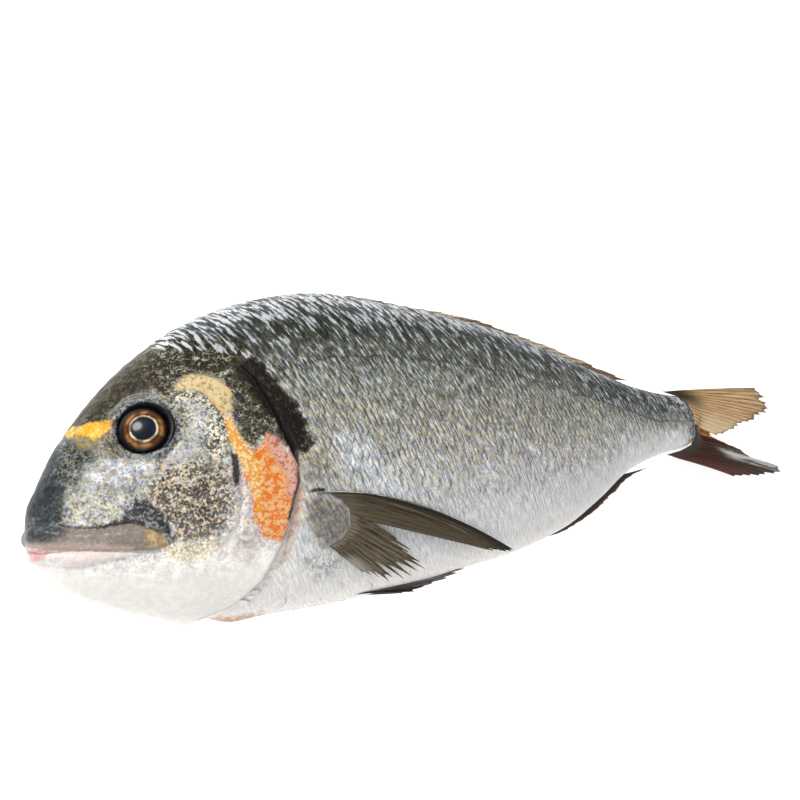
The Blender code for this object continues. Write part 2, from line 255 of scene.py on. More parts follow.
def add_stage():
    """The table the fish lies on."""
    bm = bmesh.new()
    bmesh.ops.create_grid(bm, x_segments=1, y_segments=1, size=TABLE_REACH)
    mesh = bpy.data.meshes.new("table_top")
    bm.to_mesh(mesh)
    bm.free()
    table = bpy.data.objects.new("table_top", mesh)
    bpy.context.scene.collection.objects.link(table)
    material, _, shader = new_material("matt white paper", 0.7, 1.45, 0.0, 0.0)
    shader.inputs["Base Color"].default_value = paint("#fbfaf8")
    shader.inputs["Emission Color"].default_value = paint("#ffffff")
    shader.inputs["Emission Strength"].default_value = TABLE_GLOW
    mesh.materials.append(material)


def add_light(name, place, size, watts, colour):
    """A round soft light that points at the fish."""
    light = bpy.data.lights.new(name, "AREA")
    light.shape = "DISK"
    light.size = size
    light.energy = watts
    light.color = paint(colour)[:3]
    lamp = bpy.data.objects.new(name, light)
    bpy.context.scene.collection.objects.link(lamp)
    lamp.location = place
    lamp.rotation_euler = (-Vector(place)).to_track_quat("-Z", "Y").to_euler()


add_stage()
world = bpy.data.worlds.new("soft studio")
bpy.context.scene.world = world
world.use_nodes = True
sky = world.node_tree.nodes["Background"]
sky.inputs["Color"].default_value = paint("#f4f5f7")
sky.inputs["Strength"].default_value = SKY_GLOW
add_light("back_light", (-0.55, 0.6, 0.75), 0.35, 7.0, "#fffdf8")
add_light("head_light", (-0.6, -0.5, 0.9), 0.9, 3.0, "#f6f9ff")

# %% [markdown]
# The marks of a gilthead are patches with ragged edges. Each is an outline on the flank, in millimetres from
# the snout and above the mouth. Every vertex of the skin stores how deep it lies inside each outline, and
# the material turns that depth to colour, so an edge can be as ragged as on real skin, which an image map of
# the same size could not show.


# %% Marks of the skin
EYE_MARK, LID_RADIUS, RIM_RADIUS = (31.6, 24.3), 8.9, 7.2


def circle(centre, radius, count=28):
    """Closed outline of a circle."""
    turns = np.linspace(0, 2 * math.pi, count, endpoint=False)
    return [(centre[0] + radius * math.cos(a), centre[1] + radius * math.sin(a)) for a in turns]


PATCHES = {
    "gold_bar": [(13.6, 27.4), (15.6, 27.9), (17.4, 28.3), (20.6, 27.9), (24, 27.6), (24, 26.2),
                 (22.2, 24.8), (20.2, 24), (18.6, 23.2), (17.4, 24.1), (15.8, 25.2), (13.4, 25.8)],
    "gold_fade": [(14, 26), (17.4, 25), (20.6, 24.6), (18.9, 21.6), (17.2, 20.2), (15.2, 22)],
    "slate_snout": [(-1, 3.4), (-1, 30), (9.6, 26), (10.2, 22), (8.6, 18.6), (7.3, 15.1), (9.8, 11.8),
                    (9.4, 8.9), (8.4, 6), (7.4, 1.8), (1, 4)],
    "snout_side": [(8, 26), (12, 24.4), (17, 22.6), (19, 19), (16, 15), (12, 11), (9.6, 12), (7, 15)],
    "dark_brow": [(5, 24), (13.8, 27.6), (16.7, 28.9), (21.3, 29), (24.8, 30), (27.4, 31.3), (33, 33),
                  (38, 31.6), (41, 34), (43, 37), (47.3, 38.2), (51.1, 37), (54, 33), (54.6, 36.4),
                  (58.5, 37.6), (62, 40), (66.3, 39.7), (60.9, 45.8), (51.6, 50), (42.6, 53.4), (30, 62),
                  (5, 50)],
    "orbit": [(18.4, 21.1), (20.2, 18.6), (25.5, 17), (29.5, 16.4), (33, 15.4), (37, 16.8), (40, 20.5),
              (41.5, 25), (40.5, 30), (36, 33.6), (28, 33.5), (23, 31), (21.1, 28), (22, 24.5)],
    "cheek_top": [(39, 32), (44, 33.6), (49, 30), (51.5, 25), (51.6, 14), (48, 13), (44, 19), (42, 26)],
    "bright_cheek": [(15.1, 14), (20.3, 16.8), (25.4, 16.7), (36.9, 16.4), (41.4, 19.8), (43.7, 25.6),
                     (42.7, 29), (45.6, 29.6), (47.6, 26.3), (45.2, 20.9), (42, 14.5), (36.3, 12.4),
                     (31.4, 11.1), (28, 8.4), (23.9, 7.6), (19, 9), (15.3, 10.8)],
    "brown_cheek": [(28.9, 7.6), (33, 12.7), (44.1, 13.9), (50.5, 9.7), (51.2, 3.4), (50.6, -1.7),
                    (48.3, -6.1), (42, -8.3), (37, -8.4), (33.8, -6.1), (31.9, 0.2), (28.5, 3.4)],
    "black_patch": [(24.4, 3.3), (26.1, 5.1), (29.4, 4.1), (30.9, 1), (33.4, -2.1), (33.8, -6.6),
                    (31.4, -3.5), (27.9, -1), (20.9, -0.4), (18, -0.4), (21.1, 0.5), (23.4, 1.3)],
    "upper_lip": [(-1, 4.6), (4.2, 3.2), (7.1, 2), (10.5, 0.3), (14, -0.4), (17.6, -0.7), (21.4, -0.4),
                  (25.1, -0.9), (28.7, -2.7), (31.4, -4.8), (32.9, -6.8), (32.8, -7.8), (30.1, -8.6),
                  (22.6, -7.5), (12.3, -5.3), (8.7, -4.7), (2.3, -4.3), (-1, -3)],
    "lip_front": [(-1, 5), (5, 3.4), (8.4, 1.6), (8, -0.6), (4, -1.7), (-1, -1.9)],
    "lip_rosy": [(-1, -1.6), (3.5, -2.6), (9, -3.4), (17, -5.2), (24, -7.2), (17.6, -6.8), (8.7, -5),
                 (2.3, -4.6), (-1, -3.6)],
    "lip_gold": [(26.4, -4.6), (28.8, -3.1), (31, -4.4), (33.1, -6.8), (32.4, -8.2), (28.6, -7.9)],
    "lower_lip": [(-1, -3.6), (2.3, -4.6), (8.7, -5), (12.3, -5.6), (17.6, -6.7), (26.8, -8.6), (18.4, -9),
                  (12, -9.5), (9.4, -9.2), (7.6, -8.4), (6.4, -6.2), (-1, -5.4)],
    "lip_pink": [(-1, -2.8), (1.5, -3.4), (3.7, -4.2), (2.6, -6), (-1, -6.2)],
    "white_chin": [(-2, -5.6), (4, -6.6), (9, -9.6), (18, -9.4), (28, -8.6), (34, -9), (42, -10.5),
                   (47.5, -9.7), (50.3, -6.6), (52.6, 0.4), (54.5, 0), (56.5, -10), (60, -12),
                   (64.5, -13), (67.5, -18), (74.3, -23.8), (82.4, -26), (100, -23), (125, -23),
                   (150, -22), (175, -17), (150, -40), (-2, -40)],
    "yellow_corner": [(33.1, -8.1), (36.5, -8.2), (42, -8.1), (46, -9.7), (41.8, -12), (36.7, -12.2),
                      (33.4, -10.1)],
    "crescent": [(40.8, 34), (43, 36.6), (47.3, 37.5), (51.1, 36.3), (55, 32.4), (54.5, 28.7),
                 (52.8, 26.4), (53.6, 23.5), (55, 18.9), (57, 15.2), (59, 10.7), (59.8, 8.5),
                 (57.7, -5.9), (56.9, -0.8), (56, 6.8), (54.1, 11.3), (52.7, 15.7), (52.2, 20.5),
                 (51.9, 24.5), (50.5, 26.9), (49, 30.3), (46.6, 33.1), (43.7, 34.2)],
    "crescent_top": [(41.1, 35.2), (43.4, 37.1), (47.1, 37.5), (50.6, 36.5), (53.2, 34.2), (55, 30.3),
                     (54.1, 26.2), (52.2, 25.2), (51, 28.3), (48.8, 31), (46.1, 33.2), (42.1, 33.8)],
    "orange_patch": [(55.8, 15.6), (57.6, 12.6), (60.9, 15.6), (62.8, 17.4), (64.6, 15), (67.3, 12),
                     (69.4, 10.4), (70.2, 5), (68.1, -0.8), (65.5, -5.9), (63.9, -11.1), (57.9, -10.3),
                     (56.6, -4.7), (56, 0.8), (55.1, 7.7), (54.3, 13.3)],
    "pink_edge": [(62.2, 15.5), (64, 17.6), (66.6, 13.6), (69.5, 10.6), (70.4, 6.8), (69.9, 3), (67.8, -1),
                  (66.2, 1.5), (66.6, 6), (64.4, 9.4)],
    "gill_plate": [(51.8, 15), (55, 6), (56, -5), (58, -11), (54, -15), (48.6, -12), (51.4, -6), (53, 2)],
    "cover_top": [(54.4, 36.5), (58.7, 37.3), (61, 33), (63.3, 27.6), (64.8, 20.7), (66.2, 15.6),
                  (63.7, 15.4), (61.1, 17.6), (57.7, 14.3), (55.8, 16.9), (54.9, 21), (54.2, 25.6),
                  (53.9, 30.7)],
    "dark_blotch": [(58.2, 39.9), (63.2, 41.3), (66.4, 37.8), (69.1, 32.2), (72, 26.7), (74, 21.8),
                    (75.4, 17.6), (75.5, 14.7), (73.6, 12.6), (71.1, 12.2), (70, 9.2), (68.7, 12.5),
                    (66.7, 16.7), (64.4, 21.6), (62.1, 27.7), (60.2, 32.1), (58.2, 35.4)],
    "cheek_streak": [(52, 14.5), (53.4, 13.4), (53.8, 9.2), (52.9, 5.5), (51.6, 5.7), (51.5, 9.5)],
    "shoulder_strip": [(70.4, 4.5), (72, 1.9), (70.1, -5.6), (68.3, -10.4), (64.9, -16.9), (62.6, -18.2),
                       (65.2, -12.8), (66.5, -7.6), (67.2, -3.1), (69, -0.4)],
    "behind_gill": [(71, 13), (76, 13), (80.5, 9), (81, 3.6), (74, 1.6), (71.8, 3.4)],
    "fin_base": [(72, -0.6), (76, -0.2), (81.6, -2), (85.1, -5), (85.6, -10.3), (83.2, -13.3),
                 (78.9, -14.8), (77, -15.4), (73.3, -11.9), (71, -6.5)],
    "below_fin": [(70.8, -17.4), (77, -16.6), (82, -18.6), (81, -22.8), (74.5, -22.9), (71.5, -20.8)],
    "flank_highlight": [(84, 14.4), (86.7, 7), (88.2, 3.3), (95.1, 0.8), (99.9, -2.4), (105.2, -3.9),
                    (97.4, 4.4), (93.1, 12.2), (88.9, 16)],
    "membrane": [(44, -28.6), (52, -29.4), (60, -30), (60, -36), (44, -36)],
    "tail_root": [(232, 26), (243, 26), (256, 14), (256, -6), (236, -6), (242, 3), (243, 10), (239, 16)],
    "forehead": [(5, 24), (13.8, 27.6), (21.3, 29), (27.4, 31.3), (33, 33), (37, 38), (36, 50), (30, 62),
                 (5, 50)],
    "rear_back": [(190, 25), (206, 15), (226, 10), (242, 10), (242, 26), (215, 34), (192, 42)],
    "lid_and_highlights": circle(EYE_MARK, LID_RADIUS),
    "eye_rim": circle(EYE_MARK, RIM_RADIUS),
}
print(len(PATCHES), "patches")

# %% [markdown]
# Creases and slits are open lines, and their depth is below zero beside them. The dark lines on the creases
# of lips and mouth, in the gap under the gill cover, in the slit at the side fin's root and along the edge of
# the belly are painted shade. The rear edges of gill cover and cheek are kept as lines of their own, because
# the same line later shapes the head and ends the scales.

# %% Edges and creases
GILL_EDGE = [(57.5, 41), (62.5, 35), (65.5, 26), (68, 17), (70.6, 9), (69.6, 1.5), (66.6, -6), (63.5, -13),
             (58, -21), (50, -26.5), (41, -28.6)]
CHEEK_EDGE = [(40, 33.5), (45, 33.2), (49.5, 29.5), (51.2, 24), (51.6, 16), (53, 9), (53.2, 2), (51.5, -5),
              (47.5, -9.5), (41, -11.5)]
LINES = {
    "mouth_slit_shade": [(0, -3.3), (2.3, -4.5), (8.7, -4.9), (12.3, -5.5), (17.6, -6.6), (22.6, -7.7),
                   (26.8, -8.6), (31, -8.9)],
    "lip_crease_shade": [(7.6, 1.9), (10.5, 0.7), (14, -0.1), (17.6, -0.4), (21.4, -0.1), (25.1, -0.6),
                   (28.7, -2.4), (31.4, -4.5), (33.4, -7)],
    "cheek_fold": [(52.2, 0), (51.6, -4.9), (50.3, -7.6), (48.6, -9.7), (46, -11.1)],
    "gill_gap_shade": [(62.5, 35), (65.5, 26), (68, 17), (70.6, 9), (70.2, 4), (67.9, -0.4), (65.8, -5.9)],
    "belly_edge_shade": [(60, -30.6), (82, -31.2), (105, -30.7), (130, -28.7)],
    "gill_seam": [(69.6, 1.5), (66.6, -6), (63.5, -13), (58, -21), (50, -26.5), (41, -28.6)],
    "fin_slit_shade": [(73.5, 0.9), (75.7, 1.1), (77.6, 0.8)],
}
# how far in mm the marks of the belly's edge, the membrane and a painted shade, reach up each flank
KEEL_MARKS = {"membrane": 4.5, "belly_edge_shade": 1.2}
print(len(LINES), "open lines")

# %% [markdown]
# The depth in a mark is the distance from its outline, with a sign. A straight line from a spot to one side
# crosses the outline an odd number of times when the spot lies inside, and that gives the sign.


# %% Depth in a mark
def beside(spots, line, closed=False):
    """Distance in millimetres of each spot from an outline or an open line."""
    points = np.array(line, float)
    ends = np.roll(points, -1, 0) if closed else points[1:]
    nearest = np.full(len(spots), 1e9)
    for a, b in zip(points, ends):
        edge = b - a
        t = np.clip((spots - a) @ edge / (edge @ edge), 0, 1)
        nearest = np.minimum(nearest, np.linalg.norm(spots - a - t[:, None] * edge, axis=1))
    return nearest


def depth_inside(spots, outline):
    """How deep in millimetres each spot lies inside a closed outline. Outside it is negative."""
    corners = np.array(outline, float)
    within = np.zeros(len(spots), bool)
    for a, b in zip(corners, np.roll(corners, -1, 0)):
        crosses = (a[1] > spots[:, 1]) != (b[1] > spots[:, 1])
        reach = a[0] + (spots[:, 1] - a[1]) * (b[0] - a[0]) / (b[1] - a[1] or 1e-9)
        within ^= crosses & (spots[:, 0] < reach)
    return beside(spots, outline, closed=True) * np.where(within, 1, -1)


def ahead_of(spots, line):
    """How far in millimetres each spot lies in front of an open line that runs down the flank."""
    points = np.array(line, float)
    order = np.argsort(points[:, 1])
    reach = np.interp(spots[:, 1], points[order, 1], points[order, 0])
    return beside(spots, line) * np.where(spots[:, 0] < reach, 1, -1)


eye_depth = depth_inside(np.array([EYE_MARK]), PATCHES["lid_and_highlights"])[0]
print("the middle of the eye lies in mm inside its lid:", round(float(eye_depth), 1))

# %% [markdown]
# Scales run in slanting rows, and their edges show as short strokes along those rows. So the skin also keeps
# a distance along the fish and round it, counted from the lateral line, the row of pores along each flank.

# %% Rows of the skin
LATERAL_LINE = [(36, 31), (60, 33.5), (71.8, 36.7), (87.6, 39.8), (106.4, 38.9), (126.7, 36.5), (150.9, 32.7),
                (176.6, 25.7), (204.3, 17.1), (223.5, 10.8), (250, 9.5)]
STROKE_WIDTH, STROKE_LENGTH, STROKE_LEAN = 0.75, 3.4, 0.36
# sets the noise of the right flank's strokes apart from the left's
RIGHT_FLANK_SHIFT = 40
# places along the body, and angles from belly to back, at which the distance round it is measured
STATIONS = np.linspace(0, BODY_LENGTH, 160)
RING = np.radians(np.linspace(-89.5, 89.5, 180))


def step(x, low, high):
    """0 below low, 1 above high, and a smooth rise between."""
    t = np.clip((x - low) / (high - low), 0, 1)
    return t * t * (3 - 2 * t)


def girth_table():
    """Distance round the body from the lateral line, at every station and angle."""
    rows = []
    for x in STATIONS:
        ring = section(x, RING)
        girth = np.concatenate([[0], np.cumsum(np.linalg.norm(np.diff(ring, axis=0), axis=1))])
        rows.append(girth - np.interp(np.interp(x, *zip(*LATERAL_LINE)), ring[:, 1], girth))
    return np.array(rows)


GIRTH = girth_table()


def girth_at(x, angle):
    """Distance round the body from the lateral line, read from the table."""
    i = np.clip(x / STATIONS[1], 0, len(STATIONS) - 1.001)
    j = np.clip((angle - RING[0]) / (RING[1] - RING[0]), 0, len(RING) - 1.001)
    row, column = i.astype(int), j.astype(int)
    s, t = i - row, j - column
    near = GIRTH[row, column] * (1 - t) + GIRTH[row, column + 1] * t
    far = GIRTH[row + 1, column] * (1 - t) + GIRTH[row + 1, column + 1] * t
    return near * (1 - s) + far * s


def scaly(spots):
    """1 where the skin carries scales, behind the gill cover and on the nape, and 0 on the bare head."""
    x, y = spots.T
    nape = step(y - np.interp(x, (26, 38, 48, 60, 66), (58, 50, 45.5, 42, 39.5)), -2, 1.5)
    return np.maximum(nape, step(-ahead_of(spots, GILL_EDGE), 0.4, 2.4) * (x > 52))


def mark_skin(mesh, points):
    """Stores on each vertex what the skin material needs: depth in each mark, and place on the body."""
    x, spots = points[:, 0], points[:, :2]
    top, low = smooth_line(BACK_LINE, x), smooth_line(BELLY_LINE, x)
    girth = girth_at(x, angle_at(x, points[:, 1]))
    depths = {name: depth_inside(spots, outline) for name, outline in PATCHES.items()}
    depths |= {name: -beside(spots, line) for name, line in LINES.items()}
    for name, reach in KEEL_MARKS.items():
        depths[name] = np.minimum(depths[name], reach - np.abs(points[:, 2]))
    store(mesh, **depths)
    across = (x + STROKE_LEAN * girth) / STROKE_WIDTH + RIGHT_FLANK_SHIFT * (points[:, 2] < 0)
    store(mesh, rise=(points[:, 1] - low) / (top - low), distance=x / BODY_LENGTH, scaly=scaly(spots),
          stroke_across=across, stroke_along=girth / STROKE_LENGTH)


print("girth at mid body in mm:", round(float(np.ptp(GIRTH[len(STATIONS) // 2])), 1), "each side")

# %% [markdown]
# Lips, gill cover, eye sockets and nostrils stand out of the skin or lie in it. Separate lumps could be
# joined with Booleans, but a height over one skin leaves no seams. The lips come first: each is a soft roll,
# drawn as the outer face of a row of balls that runs from one corner of the mouth to the other.

# %% Relief of the lips
# Lips and nostrils are (x, y, radius) in mm
UPPER_LIP = [(1.6, 0.3, 2.9), (4.5, -0.6, 3.2), (10.5, -2.3, 2.6), (17.5, -3.6, 2.8), (22, -4, 3.2),
             (26, -4.8, 3.2), (29.3, -6, 2.5), (32, -7, 1.2)]
LOWER_LIP = [(2.0, -5.2, 1.6), (5, -6, 1.9), (8.5, -7, 2.2), (12, -7.6, 2.1), (16, -7.9, 1.6),
             (20, -8.3, 1.1), (25, -8.8, 0.6)]
LIP_SINK = 0.43
EYE_RADIUS, EYE_HALF_DEPTH = 7.2, 3.6
SOCKET_DEPTH, SOCKET_RIM, SOCKET_FURROW = 4.8, 1.1, 0.35
NOSTRILS = [(14.3, 18.5, 0.9), (16.6, 19.9, 0.7)]
NOSTRIL_DEPTH, NOSTRIL_RIM = 1.1, 0.25
# height of a bony edge, depth of the groove behind it and how gently it slopes to the front
GILL_LIFT, GILL_GROOVE, GILL_SLOPE = 1.5, 0.8, 7
CHEEK_LIFT, CHEEK_GROOVE, CHEEK_SLOPE = 0.5, 0.3, 3
# size and height of the soft swells of the flesh and of the pores of the bare head
SWELL_SIZE, SWELL_HEIGHT = 14.0, 0.25
PORE_SIZE, PORE_HEIGHT = 2.2, 0.16
FIN_BASE_HEIGHT = 1.3
THROAT_AT, THROAT_SIZE, THROAT_HEIGHT = (52, -31, -2), (6, 3, 4), 1.2
HEAD_END = 84.0


def roll_centres(path):
    """Balls that trace a roll of soft tissue from one corner of the mouth, round the snout, to the other."""
    knots = np.array(path)
    fine = np.linspace(0, len(knots) - 1, 60)
    x, y, r = (np.interp(fine, np.arange(len(knots)), knots[:, i]) for i in range(3))
    left, right = (flank(x, y, side, -LIP_SINK * r) for side in (1, -1))
    front = np.linspace(left[0], right[0], 9)
    return np.concatenate([left, right, front]), np.concatenate([r, r, np.full(9, r[0])])


def roll_height(points, normals, path):
    """How far such a roll lifts the skin."""
    height = np.zeros(len(points))
    for centre, radius in zip(*roll_centres(path)):
        away = points - centre
        along = (away * normals).sum(1)
        room = along ** 2 - (away ** 2).sum(1) + radius ** 2
        height = np.maximum(height, np.where(room > 0, -along + np.sqrt(np.maximum(room, 0)), 0))
    return height


print(len(UPPER_LIP) + len(LOWER_LIP), "knots along the lips")

# %% [markdown]
# The gill cover and the cheek are bony plates with a free edge, and the eye sits in a socket with a raised
# rim. Each is a height that depends on the distance from an edge or from a middle. They could be sculpted,
# but then the colours, which follow the same edges, would not stay on them.


# %% Relief of gill cover, eyes and nostrils
def ripple(points, size, seed):
    """Smooth noise from -1 to 1 with features of the given size in millimetres."""
    return np.array([noise.noise(p) for p in points / size + seed])


def swells(points):
    """Soft, uneven flesh under skin and scales alike."""
    return SWELL_HEIGHT * ripple(points, SWELL_SIZE, 3.0)


def gill_height(spots):
    """The bony gill cover ends in a free edge with a groove behind it, and the cheek in a fainter one."""
    edge, cheek = ahead_of(spots, GILL_EDGE), ahead_of(spots, CHEEK_EDGE)
    cover = GILL_LIFT * np.exp(-np.maximum(edge, 0) / GILL_SLOPE) * step(edge, -0.5, 1.3)
    groove = -GILL_GROOVE * np.exp(-((edge + 1.3) / 1.0) ** 2)
    fold = CHEEK_LIFT * np.exp(-np.maximum(cheek, 0) / CHEEK_SLOPE) * step(cheek, -0.4, 1.0)
    fold -= CHEEK_GROOVE * np.exp(-((cheek + 0.9) / 0.9) ** 2)
    # both fade out towards the nape, and the fold also towards the throat
    fold *= step(spots[:, 1], -12, -8)
    fold *= step(-spots[:, 1], -34, -30)
    return (cover + groove) * step(-spots[:, 1], -44, -36) + fold


def eye_height(points, side):
    """A socket with a raised rim, and two nostrils in front of it."""
    centre = flank(*EYE_CENTRE, side)
    out = flank(*EYE_CENTRE, side, 1.0) - centre
    away = points - centre
    on_other_flank = points[:, 2] * side < 0
    radial = np.linalg.norm(away - (away @ out)[:, None] * out, axis=1) + 1e3 * on_other_flank
    height = -SOCKET_DEPTH * (1 - step(radial, EYE_RADIUS - 1.1, EYE_RADIUS + 0.1))
    height += SOCKET_RIM * np.exp(-((radial - EYE_RADIUS - 0.8) / 0.9) ** 2)
    height -= SOCKET_FURROW * np.exp(-((radial - EYE_RADIUS - 2.6) / 0.8) ** 2)
    for x, y, r in NOSTRILS:
        pit = np.linalg.norm(points - flank(x, y, side), axis=1)
        rim = NOSTRIL_RIM * np.exp(-((pit - 1.6 * r) / 0.5) ** 2)
        height += -NOSTRIL_DEPTH * np.exp(-(pit / r) ** 2) + rim
    return height


def relief(points, normals):
    """How far the skin stands above the bare body, in millimetres."""
    front = points[:, 0] < HEAD_END + 4
    near, out = points[front], normals[front]
    height = swells(points)
    head = gill_height(near[:, :2]) + eye_height(near, 1) + eye_height(near, -1)
    head += PORE_HEIGHT * ripple(near, PORE_SIZE, 7.0) * (1 - scaly(near[:, :2])) * step(near[:, 1], -12, 0)
    head += FIN_BASE_HEIGHT * step(depth_inside(near[:, :2], PATCHES["fin_base"]), -1.2, 3.4)
    head += THROAT_HEIGHT * np.exp(-(((near - THROAT_AT) / THROAT_SIZE) ** 2).sum(1))
    head += np.maximum(roll_height(near, out, UPPER_LIP), roll_height(near, out, LOWER_LIP))
    height[front] += head
    return height


print("gill cover stands proud by", GILL_LIFT, "mm")

# %% [markdown]
# Head and trunk are one skin. A flat grid is wrapped round the body like a sock, with most of its
# rows over the head, where the relief needs them, and is joined along its seam and at the snout; its end at
# the tail stays open.


# %% Head and trunk
def unit_grid(name, along, around):
    """A flat grid mesh with both of its coordinates running from 0 to 1."""
    bm = bmesh.new()
    bmesh.ops.create_grid(bm, x_segments=along, y_segments=around, size=0.5)
    mesh = bpy.data.meshes.new(name)
    bm.to_mesh(mesh)
    bm.free()
    flat = np.zeros(len(mesh.vertices) * 3)
    mesh.vertices.foreach_get("co", flat)
    flat = flat.reshape(-1, 3) + 0.5
    return mesh, np.clip(flat[:, 0], 0, 1), np.clip(flat[:, 1], 0, 1)


def read_points(mesh):
    """Vertices of a mesh on the table, back in the fish's frame."""
    co = np.zeros(len(mesh.vertices) * 3)
    mesh.vertices.foreach_get("co", co)
    return (co.reshape(-1, 3) - shift) @ tipped / MM


def shape_mesh(mesh, points, close=True, clear=0.0):
    """Moves a mesh's vertices to points of the fish's frame, and joins what meets at seams and poles."""
    mesh.vertices.foreach_set("co", to_table(points, clear).ravel())
    bm = bmesh.new()
    bm.from_mesh(mesh)
    if close:
        bmesh.ops.remove_doubles(bm, verts=bm.verts, dist=1e-7)
    bm.normal_update()
    bmesh.ops.recalc_face_normals(bm, faces=bm.faces)
    bm.to_mesh(mesh)
    bm.free()
    return mesh


# faces along the head, along the trunk and round the body, and the share of these on the shown left flank
HEAD_ROWS, TRUNK_ROWS, COLUMNS, LEFT_SHARE = 228, 64, 330, 0.67
# above 1, the rows of the head crowd towards the snout
SNOUT_CROWDING = 1.5


def make_skin():
    """The skin of head and trunk, closed along its seam and at the snout."""
    mesh, along, around = unit_grid("bream_skin", HEAD_ROWS + TRUNK_ROWS, COLUMNS)
    join = HEAD_ROWS / (HEAD_ROWS + TRUNK_ROWS)
    x = np.where(along <= join, HEAD_END * (along / join) ** SNOUT_CROWDING,
                 HEAD_END + (BODY_LENGTH - HEAD_END) * (along - join) / (1 - join))
    left = around / LEFT_SHARE - 0.5
    right = 0.5 + (around - LEFT_SHARE) / (1 - LEFT_SHARE)
    angle = np.where(around <= LEFT_SHARE, left, right) * math.pi
    bare, normals = section(x, angle), outward(x, angle)
    tip = x < 1e-6
    bare[tip] = (0, -1, 0)
    normals[x < 0.05] = (-1, 0, 0)
    shape_mesh(mesh, bare + normals * relief(bare, normals)[:, None])
    mark_skin(mesh, read_points(mesh))
    return mesh


skin_mesh = make_skin()

# %% [markdown]
# Fresh fish skin is a clear, wet layer over silver plates and dark pigment. The base colour runs from a
# white belly over a silver flank to a dark olive back, whose top edge is painted lighter again, for glints of
# light on the wet scales there. Pigmented marks lie over it and are speckled with it, as pigment sits in
# small cells. Marks of smooth skin, such as the lips, the gold and the orange, are laid on last and have only
# their own flecks. An image map could carry them, but noise stays sharp close up.

# %% Colours of the skin
# from belly to back; the last two stops lighten the top edge of the back again, as painted glints of light
FLANK_COLOURS = [(0.0, "#f7f5f2"), (0.07, "#f0efed"), (0.15, "#e2e2e1"), (0.27, "#cbcbc9"),
                 (0.42, "#b9b7b0"), (0.56, "#aba99d"), (0.68, "#94968c"), (0.78, "#676a60"),
                 (0.87, "#43473f"), (0.94, "#5f656a"), (1.0, "#9a9fa4")]
# How much of a mark its fleck colour takes: the noise value above which the flecks show
FLECKS = {"few": 0.57, "some": 0.53, "half": 0.50}
# mark, colour, fleck colour, flecks, growth and softness of the edge in mm, raggedness in mm, strength
SPECKLED_LAYERS = [
    # painted highlight: a soft bluish-white patch of light on the flank behind the gill
    ("flank_highlight", "#e6ebf0", "#c4cad1", "some", 1.0, 8.0, 3.0, 0.65),
    ("behind_gill", "#c8c2b4", "#857d6e", "half", 0.5, 5.0, 4.0, 0.75),
    ("dark_brow", "#231f16", "#746b4d", "some", 0.0, 3.5, 4.0, 0.97),
    ("snout_side", "#2e3134", "#6a6a61", "half", 0.5, 4.0, 4.0, 0.85),
    ("cheek_top", "#5a5242", "#d0cab6", "half", 0.5, 4.0, 4.0, 0.85),
    ("bright_cheek", "#cfcfd3", "#77736e", "some", 0.0, 5.0, 5.0, 0.85),
    ("brown_cheek", "#54463a", "#b0a490", "half", 0.5, 6.0, 6.0, 0.88),
    ("white_chin", "#fdf9f3", "#f3eee6", "half", 0.0, 6.0, 7.0, 0.97),
    ("gill_plate", "#dccfc7", "#958a80", "some", 0.0, 5.0, 4.0, 0.75),
    ("yellow_corner", "#d9c48a", "#f2ead6", "half", 0.5, 4.0, 4.0, 0.7),
    ("orbit", "#3d3529", "#786d5a", "half", 0.3, 2.5, 2.5, 0.9),
    ("black_patch", "#1c1c20", "#66656c", "some", 0.6, 1.8, 3.0, 0.92),
    ("below_fin", "#86817a", "#eeebe6", "half", 0.0, 5.0, 6.0, 0.6),
    ("fin_base", "#857868", "#40372f", "half", 0.0, 4.0, 3.0, 0.8),
    ("rear_back", "#45443d", "#6c757e", "half", 0.0, 9.0, 4.0, 0.75),
    ("tail_root", "#2c2b29", "#8b8d92", "half", 1.5, 5.0, 5.0, 0.85),
    ("cover_top", "#17140d", "#464029", "half", 0.3, 2.4, 3.0, 0.92),
]
